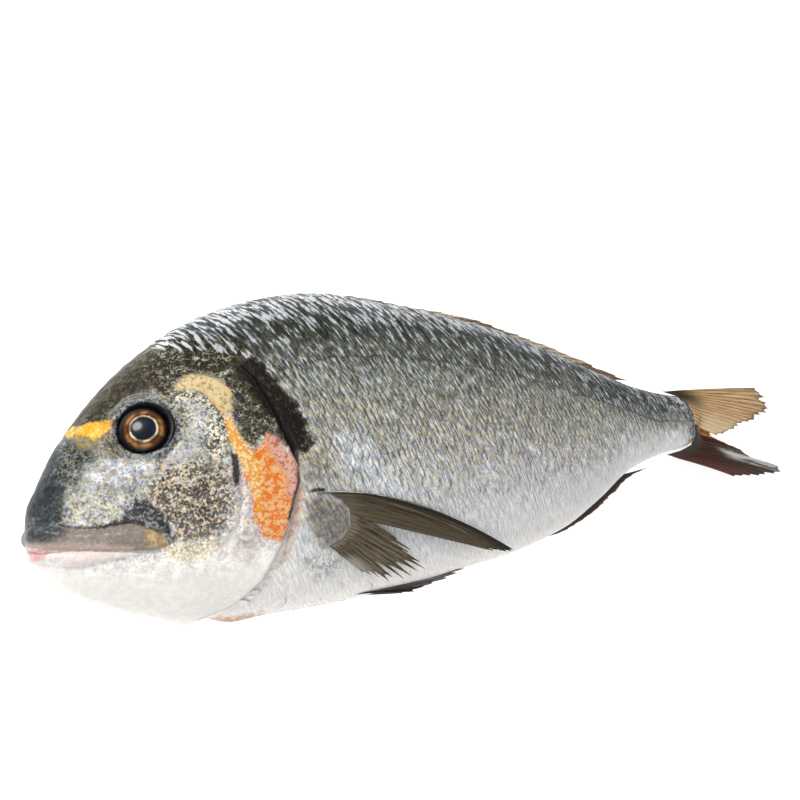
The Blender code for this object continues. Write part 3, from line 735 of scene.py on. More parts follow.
SMOOTH_LAYERS = [
    ("forehead", "#262118", "#474030", "half", 0.5, 7.0, 6.0, 0.9),
    ("slate_snout", "#1a2126", "#343e45", "some", 0.5, 3.0, 3.5, 0.93),
    ("shoulder_strip", "#dac5b5", "#b79b8c", "some", 0.1, 1.2, 0.8, 0.9),
    ("dark_blotch", "#5d4624", "#1c1610", "half", 0.8, 1.4, 3.4, 0.75),
    ("dark_blotch", "#050303", "#3f2e1b", "few", 0.1, 2.0, 4.0, 0.98),
    ("orange_patch", "#eb7818", "#f0bd80", "half", 0.1, 1.4, 2.8, 0.96),
    ("pink_edge", "#deb6aa", "#b8563e", "some", 0.3, 2.0, 2.6, 0.85),
    ("crescent", "#eca23c", "#f6dca4", "half", 0.0, 1.2, 1.4, 0.96),
    ("crescent_top", "#decb9f", "#a38c58", "some", 0.2, 1.6, 2.0, 0.9),
    ("cheek_streak", "#1d1a1b", "#4b4a50", "few", 0.1, 0.9, 1.0, 0.92),
    ("gold_fade", "#c3ae6a", "#77735f", "half", 0.0, 2.5, 2.5, 0.6),
    ("gold_bar", "#f0aa12", "#f8d478", "some", 0.0, 1.1, 2.2, 0.97),
    ("upper_lip", "#8a7d72", "#9c9188", "some", 0.0, 0.8, 0.3, 0.97),
    ("lip_gold", "#bb9558", "#d8c090", "half", 0.0, 3.0, 2.0, 0.8),
    ("lip_front", "#2e363b", "#4f5a62", "some", 0.3, 3.0, 1.0, 0.9),
    ("lip_rosy", "#d6bdb2", "#e4cfc6", "some", 0.2, 2.0, 0.4, 0.8),
    ("lower_lip", "#eadbd4", "#f3e9e4", "some", 0.2, 0.8, 0.3, 0.95),
    ("lip_pink", "#d78f92", "#e6b4b3", "some", 0.3, 1.8, 0.6, 0.7),
    ("cheek_fold", "#e9dcd4", "#d8c9c0", "some", 0.4, 0.9, 1.0, 0.7),
    # painted shade in the crease above the upper lip
    ("lip_crease_shade", "#231d1c", "#231d1c", "few", 0.35, 0.9, 0.6, 0.85),
    # painted shade in the slit between the lips
    ("mouth_slit_shade", "#6a4a44", "#6a4a44", "few", 0.18, 0.6, 0.3, 0.75),
    ("gill_seam", "#b59a8e", "#b59a8e", "few", 0.3, 0.8, 0.4, 0.7),
    # painted shade in the gap under the free edge of the gill cover
    ("gill_gap_shade", "#120e0c", "#2c1410", "some", 0.55, 0.9, 0.9, 0.95),
    # painted shade in the slit at the root of the side fin
    ("fin_slit_shade", "#0b0908", "#0b0908", "few", 0.55, 0.5, 0.3, 0.95),
    ("membrane", "#a8622a", "#d69a5c", "half", 0.0, 2.0, 2.4, 0.85),
    # painted shade: a dark line along the edge of the belly
    ("belly_edge_shade", "#6d4a1c", "#2e2418", "half", 0.5, 0.9, 0.8, 0.8),
    # the grey ring of skin round the eye; its pale flecks are painted wet highlights
    ("lid_and_highlights", "#41464a", "#a7aeb2", "half", 0.0, 1.4, 1.2, 0.85),
    ("eye_rim", "#0c0b0c", "#1b1a1c", "few", 0.0, 0.5, 0.1, 0.97),
]
# Sizes of the skin's patterns. Real pigment cells, of about a fifth of a millimetre, are too fine to show in
# the render, so these are drawn as coarse as they need to show.
CELL_MM, CURL_MM, CLUMP_MM, HUE_MM, MOTTLE_MM, PATCH_MM = 0.75, 1.5, 1.9, 1.1, 4.5, 11.0
EDGE_MM = 2.6
print(len(SPECKLED_LAYERS) + len(SMOOTH_LAYERS), "layers of colour")


# %% Marks as colour
def add_marks(tree, layers, colour, place, cells, clumps):
    """Lays marks over a colour, each with its own ragged edge and flecks."""
    mottle = add(tree, "Mix", {0: 0.45, 2: cells, 3: clumps})
    flecks = {name: add(tree, "MapRange", [mottle, start - 0.02, start + 0.03])
              for name, start in FLECKS.items()}
    edge = add(tree, "TexNoise", {"Vector": place, "Scale": 1 / (EDGE_MM * MM), "Detail": 5.0,
                                  "Roughness": 0.75})
    ragged = add(tree, "Math", [edge, 0.5], operation="SUBTRACT")
    for mark, shade, fleck_shade, amount, grow, soft, roughness, strength in layers:
        inside = add(tree, "Attribute", output="Fac", attribute_name=mark)
        depth = add(tree, "Math", [ragged, roughness * 2.5, inside], operation="MULTIPLY_ADD")
        mask = add(tree, "MapRange", [depth, -soft / 2 - grow, soft / 2 - grow, 0.0, strength],
                   interpolation_type="SMOOTHSTEP")
        speckled = add(tree, "Mix", {0: flecks[amount], 6: paint(shade), 7: paint(fleck_shade)},
                       data_type="RGBA")
        colour = add(tree, "Mix", {0: mask, 6: colour, 7: speckled}, data_type="RGBA")
    return colour


print("the ragged edge of a mark has features of", EDGE_MM, "mm")

# %% [markdown]
# Strokes of light and dark follow the scale rows, stronger towards the back, where wet scale edges glint
# white in drifts. The bare head has no scales, so its pigment cells show more, and water lies on it in short
# curled glints. All of these are drawn as colour here, because gloss alone would need far more scales than
# the mesh can hold. The scales that come further down add the edges that catch the light.


# %% Strokes, specks and glints
def shade_scales(tree, level, rise, on_scales, rim, tint, along, cells, mottle):
    """Grey to multiply the skin's colour by, from painted shade in the gaps of the scales to painted light on
    their edges.
    """
    # painted shade in the gaps and painted highlights on the edges of the scales, stronger towards the back
    depth = add(tree, "MapRange", [rise, 0.05, 0.85, 0.12, 1.5])
    depth = add(tree, "Math", [depth, on_scales], operation="MULTIPLY")
    swing = add(tree, "Math", [level, 0.48], operation="SUBTRACT")
    shade = add(tree, "Math", [swing, depth, 1.0], operation="MULTIPLY_ADD")
    # pigment cells, stronger on the bare head
    specks = add(tree, "Mix", {0: 0.5, 2: cells, 3: mottle})
    specks = add(tree, "MapRange", [specks, 0.41, 0.60, -0.68, 0.95])
    speck_depth = add(tree, "MapRange", [rise, 0.10, 0.36, 0.05, 0.95])
    bareness = add(tree, "MapRange", [on_scales, 0.0, 1.0, 1.0, 0.42])
    speck_depth = add(tree, "Math", [speck_depth, bareness], operation="MULTIPLY")
    speckle = add(tree, "Math", [specks, speck_depth, 1.0], operation="MULTIPLY_ADD")
    shade = add(tree, "Math", [shade, speckle], operation="MULTIPLY")
    # each scale has its own tint, and its rim is darkened with painted shade
    lean = add(tree, "Math", [tint, 0.2, 1.0], operation="MULTIPLY_ADD")
    shade = add(tree, "Math", [shade, lean], operation="MULTIPLY")
    rim_shade_depth = add(tree, "MapRange", [rise, 0.1, 0.9, -0.12, -0.6])
    rim_shade = add(tree, "Math", [rim, rim_shade_depth, 1.0], operation="MULTIPLY_ADD")
    shade = add(tree, "Math", [shade, rim_shade], operation="MULTIPLY")
    # the lateral line is a thin dark row of pores
    from_line = add(tree, "Math", [along], operation="ABSOLUTE")
    pores = add(tree, "MapRange", [from_line, 0.04, 0.14, 0.32, 0.0])
    pores = add(tree, "Math", [pores, on_scales], operation="MULTIPLY")
    lined = add(tree, "Math", [1.0, pores], operation="SUBTRACT")
    shade = add(tree, "Math", [shade, lined], operation="MULTIPLY")
    return add(tree, "CombineColor", [shade, shade, shade])


def add_scale_glints(tree, colour, stroke, rise, on_scales, drift, along_body):
    """White glints of wet scale edges in drifts along the back, and silver ones from the upper flank on."""
    glint = add(tree, "MapRange", [stroke, 0.48, 0.56], interpolation_type="SMOOTHSTEP")
    glint = add(tree, "Math", [glint, on_scales], operation="MULTIPLY")
    high_up = add(tree, "MapRange", [drift, 0.86, 0.97, 0.0, 1.0])
    forward = add(tree, "MapRange", [along_body, 0.44, 0.66, 1.0, 0.25])
    glint = add(tree, "Math", [glint, high_up], operation="MULTIPLY")
    glint = add(tree, "Math", [glint, forward], operation="MULTIPLY")
    colour = add(tree, "Mix", {0: glint, 6: colour, 7: paint("#f4f7fa")}, data_type="RGBA")
    sparkle = add(tree, "MapRange", [stroke, 0.555, 0.60], interpolation_type="SMOOTHSTEP")
    sparkle = add(tree, "Math", [sparkle, on_scales], operation="MULTIPLY")
    on_back = add(tree, "MapRange", [rise, 0.56, 0.74, 0.0, 0.75])
    sparkle = add(tree, "Math", [sparkle, on_back], operation="MULTIPLY")
    return add(tree, "Mix", {0: sparkle, 6: colour, 7: paint("#ccd3d8")}, data_type="RGBA")


def add_head_glints(tree, colour, place, clumps, rise, on_scales, along_body):
    """Short curled glints on the wet bare head: bits of the level lines of a noise."""
    curl = add(tree, "TexNoise", {"Vector": place, "Scale": 1 / (CURL_MM * MM), "Detail": 1.0})
    curl = add(tree, "Math", [curl, 0.5], operation="SUBTRACT")
    curl = add(tree, "Math", [curl], operation="ABSOLUTE")
    curl = add(tree, "MapRange", [curl, 0.01, 0.05, 1.0, 0.0])
    for value, none_at, full_at in ((clumps, 0.50, 0.58), (on_scales, 1.0, 0.0), (rise, 0.34, 0.5),
                                    (along_body, 0.06, 0.19)):
        part = add(tree, "MapRange", [value, none_at, full_at])
        curl = add(tree, "Math", [curl, part], operation="MULTIPLY")
    curl = add(tree, "Math", [curl, 0.6], operation="MULTIPLY")
    return add(tree, "Mix", {0: curl, 6: colour, 7: paint("#e8eaea")}, data_type="RGBA")


# %% [markdown]
# The skin material puts these together. A noise from ochre to blue stands for the sheen of the silver plates,
# and a thin coat for the water and slime on the skin. Wetness could be painted white all over instead, but
# the highlights of a coat move with the view, as those of water do.


# %% Skin material
def wet_skin():
    """Wet fish skin. In a Mix node, input 0 is the share, 2 and 3 are two values, and 6 and 7 two colours."""
    material, tree, shader = new_material("wet fish skin", 0.38, 1.4, 0.15, 0.12)
    shader.inputs["Specular IOR Level"].default_value = 0.25
    place = add(tree, "TexCoord", output="Object")
    rise, on_scales, rim, tint, along_body, across, along = (
        add(tree, "Attribute", output="Fac", attribute_name=name)
        for name in ("rise", "scaly", "rim", "tint", "distance", "stroke_across", "stroke_along"))
    grain = {"Vector": place, "Detail": 3.0, "Roughness": 0.6}
    cells = add(tree, "TexNoise", grain | {"Scale": 1 / (CELL_MM * MM)})
    clumps = add(tree, "TexNoise", grain | {"Scale": 1 / (CLUMP_MM * MM)})
    patches = add(tree, "TexNoise", grain | {"Scale": 1 / (PATCH_MM * MM)})
    hues = add(tree, "TexNoise", grain | {"Scale": 1 / (HUE_MM * MM), "Distortion": 0.3})
    hues = ramp(tree, hues, [(0.38, "#cfbf9c"), (0.5, "#bcbcbc"), (0.62, "#a6b8d6")])
    mottle = add(tree, "TexNoise", {"Vector": place, "Scale": 1 / (MOTTLE_MM * MM), "Detail": 6.0,
                                    "Roughness": 0.8, "Distortion": 0.8})
    rows = add(tree, "CombineXYZ", [across, along])
    fine = add(tree, "TexNoise", {"Vector": rows, "Scale": 1.0, "Detail": 2.0, "Roughness": 0.5})
    coarse = add(tree, "TexNoise", {"Vector": rows, "Scale": 0.62, "Detail": 2.0, "Roughness": 0.4})
    # the strokes are coarser on the back
    on_back = add(tree, "MapRange", [rise, 0.74, 0.84])
    stroke = add(tree, "Mix", {0: on_back, 2: fine, 3: coarse})

    # the tones from belly to back meet in an uneven line
    drift = add(tree, "Math", [patches, 0.16, rise], operation="MULTIPLY_ADD")
    drift = add(tree, "Math", [drift, 0.08], operation="SUBTRACT")
    colour = ramp(tree, drift, FLANK_COLOURS)
    colour = add_marks(tree, SPECKLED_LAYERS, colour, place, cells, clumps)
    hue_share = add(tree, "MapRange", [rise, 0.06, 0.30, 0.06, 0.7])
    colour = add(tree, "Mix", {0: hue_share, 6: colour, 7: hues}, data_type="RGBA", blend_type="OVERLAY")

    level = add(tree, "MapRange", [stroke, 0.36, 0.64], interpolation_type="SMOOTHSTEP")
    grey = shade_scales(tree, level, rise, on_scales, rim, tint, along, cells, mottle)
    colour = add(tree, "Mix", {0: 1.0, 6: colour, 7: grey}, data_type="RGBA", blend_type="MULTIPLY")
    colour = add_scale_glints(tree, colour, stroke, rise, on_scales, drift, along_body)
    colour = add_head_glints(tree, colour, place, clumps, rise, on_scales, along_body)
    colour = add_marks(tree, SMOOTH_LAYERS, colour, place, cells, clumps)
    tree.links.new(colour, shader.inputs["Base Color"])
    gloss = add(tree, "MapRange", [cells, 0.3, 0.7, 0.28, 0.5])
    tree.links.new(gloss, shader.inputs["Roughness"])
    ridge = add(tree, "Math", [level, on_scales], operation="MULTIPLY")
    ridges = add(tree, "Bump", {"Height": ridge, "Strength": 0.6, "Distance": 0.25 * MM})
    bumps = add(tree, "Bump", {"Height": cells, "Strength": 0.5, "Distance": 0.25 * MM, "Normal": ridges})
    tree.links.new(bumps, shader.inputs["Normal"])
    return material


skin_material = wet_skin()
new_piece("bream_skin", skin_mesh, skin_material, "bream")

# %% [markdown]
# The eye of a fish has no lid: a clear dome stands out of a black ring of soft skin. Inside it are a ring of
# copper and a thin cream ring round a wide, blue-black pupil.

# %% Eyes
IRIS_RINGS = [(0.0, "#0a1730"), (0.45, "#0b1a33"), (0.48, "#f3e4cc"), (0.53, "#d9b98c"), (0.56, "#5a3517"),
              (0.65, "#b27a42"), (0.73, "#7a4b24"), (0.79, "#120d0a"), (1.0, "#070708")]
# the pupil sits a little off the middle of the dome
IRIS_SHIFT = (0.05, -0.07)


def eye_material():
    """The iris of fish is a mirror of fine crystals in a thin brown skin, so its copper is uneven."""
    material, tree, shader = new_material("wet eye", 0.35, 1.38, 0.4, 0.13)
    shader.inputs["Specular IOR Level"].default_value = 0.15
    place = add(tree, "TexCoord", output="Object")
    flecks = add(tree, "TexNoise", {"Vector": place, "Scale": 1 / (0.7 * MM), "Detail": 3.0})
    shifted = add(tree, "Math", [flecks, 0.5], operation="SUBTRACT")
    from_axis = add(tree, "Attribute", output="Fac", attribute_name="from_axis")
    ringed = add(tree, "Math", [shifted, 0.05, from_axis], operation="MULTIPLY_ADD")
    clouds = add(tree, "TexNoise", {"Vector": place, "Scale": 1 / (3 * MM), "Detail": 2.0})
    uneven = add(tree, "MapRange", [clouds, 0.42, 0.58])
    grey = add(tree, "Mix", {0: uneven, 6: paint("#8b8278"), 7: paint("#ffffff")}, data_type="RGBA")
    colour = add(tree, "Mix", {0: 1.0, 6: ramp(tree, ringed, IRIS_RINGS), 7: grey}, data_type="RGBA",
                 blend_type="MULTIPLY")
    tree.links.new(colour, shader.inputs["Base Color"])
    return material


def eyeball(name, side):
    """A flattened ball, whose axis points out of the flank."""
    bm = bmesh.new()
    bmesh.ops.create_uvsphere(bm, u_segments=64, v_segments=48, radius=1)
    mesh = bpy.data.meshes.new(name)
    bm.to_mesh(mesh)
    bm.free()
    unit = np.zeros(len(mesh.vertices) * 3)
    mesh.vertices.foreach_get("co", unit)
    unit = unit.reshape(-1, 3)
    surface = flank(*EYE_CENTRE, side)
    out = flank(*EYE_CENTRE, side, 1.0) - surface
    rise = np.cross(out, (side, 0, 0))
    rise /= np.linalg.norm(rise)
    wide = EYE_RADIUS * (unit[:, :1] * rise + unit[:, 1:2] * side * np.cross(rise, out))
    shape_mesh(mesh, surface - out * EYE_SINK + wide + EYE_HALF_DEPTH * unit[:, 2:] * out, close=False)
    from_axis = np.hypot(unit[:, 0] - IRIS_SHIFT[1], unit[:, 1] - IRIS_SHIFT[0])
    store(mesh, from_axis=np.where(unit[:, 2] > 0, from_axis, 1.0))
    return mesh


wet_eye = eye_material()
for side, name in ((1, "left"), (-1, "right")):
    new_piece(f"eyeball_{name}", eyeball(f"eyeball_{name}", side), wet_eye, f"eye_{name}", slot="eye")

# %% [markdown]
# A bream's scales lie like roof tiles: each is a thin plate rooted under the one before it, and only a tall,
# narrow crescent of it shows. Here one long strip of faces is cut into patches, and each patch is laid on the
# flank as one scale, in rows that follow the lateral line. Every scale leans a little its own way, which
# gives the skin its glitter. A normal map would be flat against the sky, and these edges stand out of it.

# %% Scales
# all in mm, at the shoulder
SCALE_PITCH, ROW_PITCH = 2.1, 2.6
SCALE_LENGTH, SCALE_HEIGHT = 3.8, 5.6
SCALE_LIFT = 0.5
COAT_FROM, COAT_TO = 30.0, 244


def scale_size(x):
    """Size of a scale against one at the shoulder. Scales get smaller towards the tail and on the nape."""
    return np.interp(x, (36, 60, 120, 245), (0.7, 0.9, 1.0, 0.62))


def scale_places():
    """Distance, girth, size and row of every scale of one flank."""
    places, x, column = [], COAT_FROM, 0
    while x < COAT_TO:
        size = scale_size(x)
        pitch = ROW_PITCH * size
        low, high = girth_at(np.full(2, x), np.radians([-88, 89]))
        rows = np.arange(math.ceil(low / pitch), math.floor(high / pitch) + 1)
        places += [(x, row * pitch, size, row) for row in rows[(rows + column) % 2 == 0]]
        x += SCALE_PITCH / 2 * size
        column += 1
    return np.array(places)


def angles_for(x, girth):
    """Angle round the body at a distance along it and a girth from the lateral line."""
    angle = np.zeros(len(x))
    for i in np.unique((x / STATIONS[1]).astype(int)):
        mine = (x / STATIONS[1]).astype(int) == i
        share = (x[mine] / STATIONS[1] - i)[:, None]
        i = min(i, len(STATIONS) - 2)
        below, above = np.interp(girth[mine], GIRTH[i], RING), np.interp(girth[mine], GIRTH[i + 1], RING)
        angle[mine] = below * (1 - share[:, 0]) + above * share[:, 0]
    return angle


def carries_scale(spots):
    """Scales leave out the bare marks behind the gill cover."""
    bare = depth_inside(spots, PATCHES["dark_blotch"]) > -0.4
    bare |= depth_inside(spots, PATCHES["fin_base"]) > 0.5
    bare |= depth_inside(spots, PATCHES["shoulder_strip"]) > -0.8
    return (scaly(spots) > 0.9) & ~bare


print(len(scale_places()), "places for scales on each flank")

# %% [markdown]
# Every patch of the strip gets its own root, size and lean. Its outer end is bent down into the skin, so no
# scale shows an open edge. Scattering one scale with instances could do the same, but each would be flat,
# and these follow the curve of the body.


# %% Scale meshes
def cut_strip(name, count, cuts):
    """One strip of faces cut into patches: its mesh, and which patch and where in it each vertex lies."""
    mesh, _, _ = unit_grid(name, cuts * count, cuts)
    bm = bmesh.new()
    bm.from_mesh(mesh)

    def is_seam(edge):
        x0, x1 = (vert.co.x + 0.5 for vert in edge.verts)
        return not edge.is_boundary and abs(x0 - x1) < 1e-7 and round(x0 * cuts * count) % cuts == 0

    bmesh.ops.split_edges(bm, edges=[edge for edge in bm.edges if is_seam(edge)])
    middle = np.array([vert.link_faces[0].calc_center_median().x for vert in bm.verts]) + 0.5
    flat = np.array([vert.co[:] for vert in bm.verts]) + 0.5
    bm.to_mesh(mesh)
    bm.free()
    patch = np.clip((middle * count).astype(int), 0, count - 1)
    return mesh, patch, np.clip(flat[:, 0] * count - patch, 0, 1), flat[:, 1] * 2 - 1


def scale_coat(name, side, seed, cuts):
    """All the scales of one flank as one mesh. a runs from a scale's root to its edge, b across it."""
    rng = np.random.default_rng(seed)
    places = scale_places()
    roots = section(places[:, 0], angles_for(places[:, 0], places[:, 1]))
    places = places[carries_scale(roots[:, :2])]
    mesh, patch, inside, b = cut_strip(name, len(places), cuts)
    a = np.minimum(inside * cuts / (cuts - 1), 1)
    skirt = inside > 1 - 0.5 / cuts
    x0, girth0, size, row = places[patch].T
    lean = rng.normal(0, 1, (3, len(places)))[:, patch]
    dx = a * SCALE_LENGTH * np.sqrt(1 - 0.8 * b * b) * size
    dg = b * SCALE_HEIGHT / 2 * size
    dx, dg = dx - dg * (STROKE_LEAN + 0.07 * lean[2]), dg + 0.07 * lean[2] * dx
    x, girth = np.minimum(x0 + dx, BODY_LENGTH - 2.5), girth0 + dg
    angle = angles_for(x, girth)
    bare, out = section(x, angle), outward(x, angle)
    top, low = smooth_line(BACK_LINE, x), smooth_line(BELLY_LINE, x)
    rise = (bare[:, 1] - low) / (top - low)
    proud = SCALE_LIFT * (0.45 + 0.75 * step(rise, 0.1, 0.9)) * step(-x, -246, -225)
    lift = size * (-0.28 + proud * (a + 0.2 * lean[0] * a + 0.2 * lean[1] * b * a - 0.25 * b * b))
    lift = np.where(skirt, -0.12, lift) + swells(bare)
    shape_mesh(mesh, (bare + out * lift[:, None]) * (1, 1, side), close=False)
    mark_skin(mesh, bare * (1, 1, side))
    on_line = (row == 0) & (np.abs(b) < 0.35)
    # rim: painted shade along the rear end of each scale, where it bends into the skin, and on the lateral
    # line the dark row of pores
    edge = np.clip((a - 0.5) * 2, 0, 1) * 0.5 + skirt * 0.5
    tint = np.clip(rng.normal(0, 0.5, len(places)), -1, 1)
    store(mesh, tint=tint[patch], rim=np.where(on_line, 0.9 * (a > 0.3), edge))
    print(name, len(places), "scales")
    return mesh


for side, name, cuts in ((1, "left", 4), (-1, "right", 3)):
    new_piece(f"scales_{name}", scale_coat(f"scales_{name}", side, 11 + side, cuts), skin_material, "bream")

# %% [markdown]
# A fin is a fan of bony rays with thin skin between them. Out of water it folds, so the rays lie close and
# the skin between them shows as narrow grooves. One helper lays a fine grid between a line of roots and a
# line of tips, raises a ridge on every ray and tears the edge between them.

# %% Fin meshes
FIN_WALL = 0.35


def along_line(points, share):
    """Points at given shares of the length of a line."""
    points = np.array(points, float)
    steps = np.concatenate([[0], np.cumsum(np.linalg.norm(np.diff(points, axis=0), axis=1))])
    at = np.asarray(share) * steps[-1]
    return np.stack([np.interp(at, steps, points[:, k]) for k in range(points.shape[1])], -1)


def fin_mesh(name, roots, tips, rays, lay, seed, notch=0.08, ragged=0.05, bow=0.0, ridge=0.2, rows=48,
             per_ray=8):
    """A fin as one thin sheet. lay gives the third coordinate of each of its points."""
    mesh, along, across = unit_grid(name, rows, (rays - 1) * per_ray)
    rng = np.random.default_rng(seed)
    phase = across * (rays - 1)
    gap = np.minimum(phase.astype(int), rays - 2)
    between = np.sin((phase - gap) * math.pi)
    length = np.interp(phase, np.arange(rays), 1 + ragged * rng.uniform(-1, 0.4, rays))
    length -= between ** 0.8 * (notch * rng.uniform(0.3, 1.7, rays))[gap]
    root = along_line(roots, across)
    flat = root + (along_line(tips, across) - root) * (along * length)[:, None]
    flat[:, 1] += bow * 4 * along * (1 - along) * (1 - across)
    flat[:, 1] += np.interp(phase, np.arange(rays), rng.normal(0, 0.25, rays)) * along * (1 - along) * 2
    points = np.empty((len(flat), 3))
    points[:, :2] = flat
    points[:, 2] = lay(flat, root, along, across)
    facing = np.sign(points[:, 2].mean() or 1)
    crest = ridge * facing * (np.cos(2 * math.pi * phase) - 0.3)
    points[:, 2] += crest * step(along, 0, 0.2) * (1 - 0.5 * along)
    shape_mesh(mesh, points, close=False, clear=FIN_WALL / 2 * MM)
    store(mesh, phase=phase, reach=along, across=across)
    return mesh


def new_fin(name, mesh, material):
    """A fin as a piece, with a thin wall so that it shows from both sides."""
    piece = new_piece(name, mesh, material, "bream")
    wall = piece.modifiers.new("thickness", "SOLIDIFY")
    wall.thickness = FIN_WALL * MM
    wall.offset = 0.0


# %% [markdown]
# Fin skin is nearly clear, so what shows is the brown of the rays, the paler web between them and bands of
# pigment at the edges. Each band is a colour with the range of reach or breadth of the fin that it covers.

# %% Fin material
def fin_material(name, ray, web, bands, coverage=1.0):
    """Thin wet skin over bony rays. A band is (colour, strength, (field, none at, full at), ...)."""
    material, tree, shader = new_material(name, 0.42, 1.4, 0.2, 0.15)
    shader.inputs["Specular IOR Level"].default_value = 0.35
    phase, reach, across = (add(tree, "Attribute", output="Fac", attribute_name=field)
                            for field in ("phase", "reach", "across"))
    fields = {"reach": reach, "across": across}
    rows = add(tree, "CombineXYZ", [add(tree, "Math", [phase, 2.4], operation="MULTIPLY"),
                                    add(tree, "Math", [reach, 1.8], operation="MULTIPLY")])
    streak = add(tree, "TexNoise", {"Vector": rows, "Scale": 2.0, "Detail": 4.0, "Roughness": 0.7})
    off = add(tree, "Math", [streak, 0.5], operation="SUBTRACT")
    turn = add(tree, "Math", [phase, 2 * math.pi], operation="MULTIPLY")
    on_ray = add(tree, "Math", [turn], operation="COSINE")
    blend = add(tree, "Math", [on_ray, 0.25, 0.5], operation="MULTIPLY_ADD")
    blend = add(tree, "Math", [off, 2.6, blend], operation="MULTIPLY_ADD")
    share = add(tree, "MapRange", [blend, 0.1, 0.9])
    colour = add(tree, "Mix", {0: share, 6: paint(web), 7: paint(ray)}, data_type="RGBA")
    for shade, strength, *ranges in bands:
        share = strength
        for field, none_at, full_at in ranges:
            shaken = add(tree, "Math", [off, 0.3, fields[field]], operation="MULTIPLY_ADD")
            part = add(tree, "MapRange", [shaken, none_at, full_at], interpolation_type="SMOOTHSTEP")
            share = add(tree, "Math", [part, share], operation="MULTIPLY")
        colour = add(tree, "Mix", {0: share, 6: colour, 7: paint(shade)}, data_type="RGBA")
    tree.links.new(colour, shader.inputs["Base Color"])
    if coverage < 1:
        tree.links.new(add(tree, "MapRange", [blend, 0.2, 0.7, coverage, 1.0]), shader.inputs["Alpha"])
    bump = add(tree, "Bump", {"Height": blend, "Strength": 0.4, "Distance": 0.3 * MM})
    tree.links.new(bump, shader.inputs["Normal"])
    return material


# %% [markdown]
# The side fin springs from a fleshy base. Its long upper rays lie together as a dark blade with a thin pale
# leading edge, and its short lower rays spread in a fan. One sheet could carry both, but they lie at
# different angles and overlap, so each is a sheet of its own.

# %% Side fins
BLADE_ROOT = [(75.5, 0.3), (79, -0.4), (82.8, -2.6), (84.6, -5.2), (85.2, -8)]
BLADE_TIP = [(141.5, -25.2), (139.5, -25.9), (132, -23.8)]
BLADE_BOW, BLADE_FALL, BLADE_RAYS = 5.0, 0.11, 11
FAN_ROOT = [(84.8, -7), (84.6, -10.6), (82, -13.4), (78, -15)]
FAN_TIP = [(101.5, -17), (110, -27), (104.5, -29), (97.5, -28.6), (89, -25)]
FAN_BOW, FAN_FALL, FAN_RAYS = 0.6, 0.2, 13
# how far in mm the left (1) and the right (-1) side fin stand off the flank: the right one is pressed to it
FIN_HOVER = {1: 1.5, -1: 0.4}


def pectoral_lay(side, fall):
    """A folded side fin runs straight from its root, so it stands off where the body curves away."""
    hover = FIN_HOVER[side]

    def lay(flat, root, along, across):
        start = flank(root[:, 0], root[:, 1])[:, 2] + hover
        straight = start - fall * np.linalg.norm(flat - root, axis=1)
        near = flank(flat[:, 0], flat[:, 1])[:, 2]
        out = np.maximum(near + hover, straight)
        return side * (near + 0.4 + (out - near - 0.4) * step(along, 0, 0.12))

    return lay


dark_fin = fin_material("folded side fin", "#261f16", "#7d6e52", [
    ("#574a38", 0.5, ("across", 0.45, 0.9)),
    ("#15181c", 0.9, ("across", 0.24, 0.10)),
    ("#e6ded2", 0.85, ("across", 0.02, -0.02), ("reach", 0.7, 0.4)),
    ("#6a5f55", 0.6, ("reach", 0.12, 0.0)),
])
pale_fin = fin_material("spread side fin", "#30281d", "#93846a", [
    ("#cfc7ba", 0.55, ("across", 0.72, 0.95), ("reach", 0.3, 0.6)),
    ("#4b3f30", 0.6, ("reach", 0.85, 1.0)),
    ("#71675e", 0.6, ("reach", 0.14, 0.0)),
], coverage=0.8)
for side, name in ((1, "left"), (-1, "right")):
    blade = fin_mesh(f"blade_{name}", BLADE_ROOT, BLADE_TIP, BLADE_RAYS, pectoral_lay(side, BLADE_FALL), 5,
                     notch=0.03, ragged=0.05, bow=BLADE_BOW, ridge=0.16)
    new_fin(f"blade_{name}", blade, dark_fin)
    fan = fin_mesh(f"fan_{name}", FAN_ROOT, FAN_TIP, FAN_RAYS, pectoral_lay(side, FAN_FALL), 8, notch=0.25,
                   ragged=0.14, bow=FAN_BOW)
    new_fin(f"fan_{name}", fan, pale_fin)

# %% [markdown]
# The tail fin is forked. Its upper lobe is thin enough to let light through, and is painted a bright amber as
# if lit from behind; its lower lobe is painted dark brown, as in shade, with a pale sliver along it. Both
# droop a little to the table.

# %% Tail fin
UPPER_ROOT = [(233.5, 22.6), (240, 20.4), (244, 16.5), (245.3, 12), (244.8, 8.5)]
UPPER_TIP = [(290.5, 21.3), (296.5, 17.5), (300.2, 14), (296.5, 11.4), (289.9, 9.5), (281.4, 7.8),
             (272.2, 6.2), (264.8, 4.3), (257, 3.4)]
LOWER_ROOT = [(245, 8), (245, 4.5), (242, 1), (236, -0.6), (228.5, -1.4)]
LOWER_TIP = [(255, 2.6), (267, -1.9), (272.9, -4), (277, -7.2), (289, -10.2), (300.2, -13), (297, -14.6),
             (282.7, -15), (263, -13.4)]
FORK_ROOT = [(246, 10), (246.8, 7.5), (246.4, 5)]
FORK_TIP = [(254, 6), (256.4, 4), (255, 2)]
TAIL_DROOP, TAIL_DROOP_FROM, TAIL_REACH = 8.2, 240.0, 60


def tail_lay(offset):
    """Rays leave the flesh of the tail and droop along a parabola."""

    def lay(flat, root, along, across):
        droop = TAIL_DROOP * np.clip((flat[:, 0] - TAIL_DROOP_FROM) / TAIL_REACH, 0, None) ** 2
        flesh = flank(np.minimum(root[:, 0], 249), root[:, 1])[:, 2]
        return offset * step(along, 0, 0.2) + (flesh + 0.2) * (1 - step(along, 0, 0.25)) - droop

    return lay
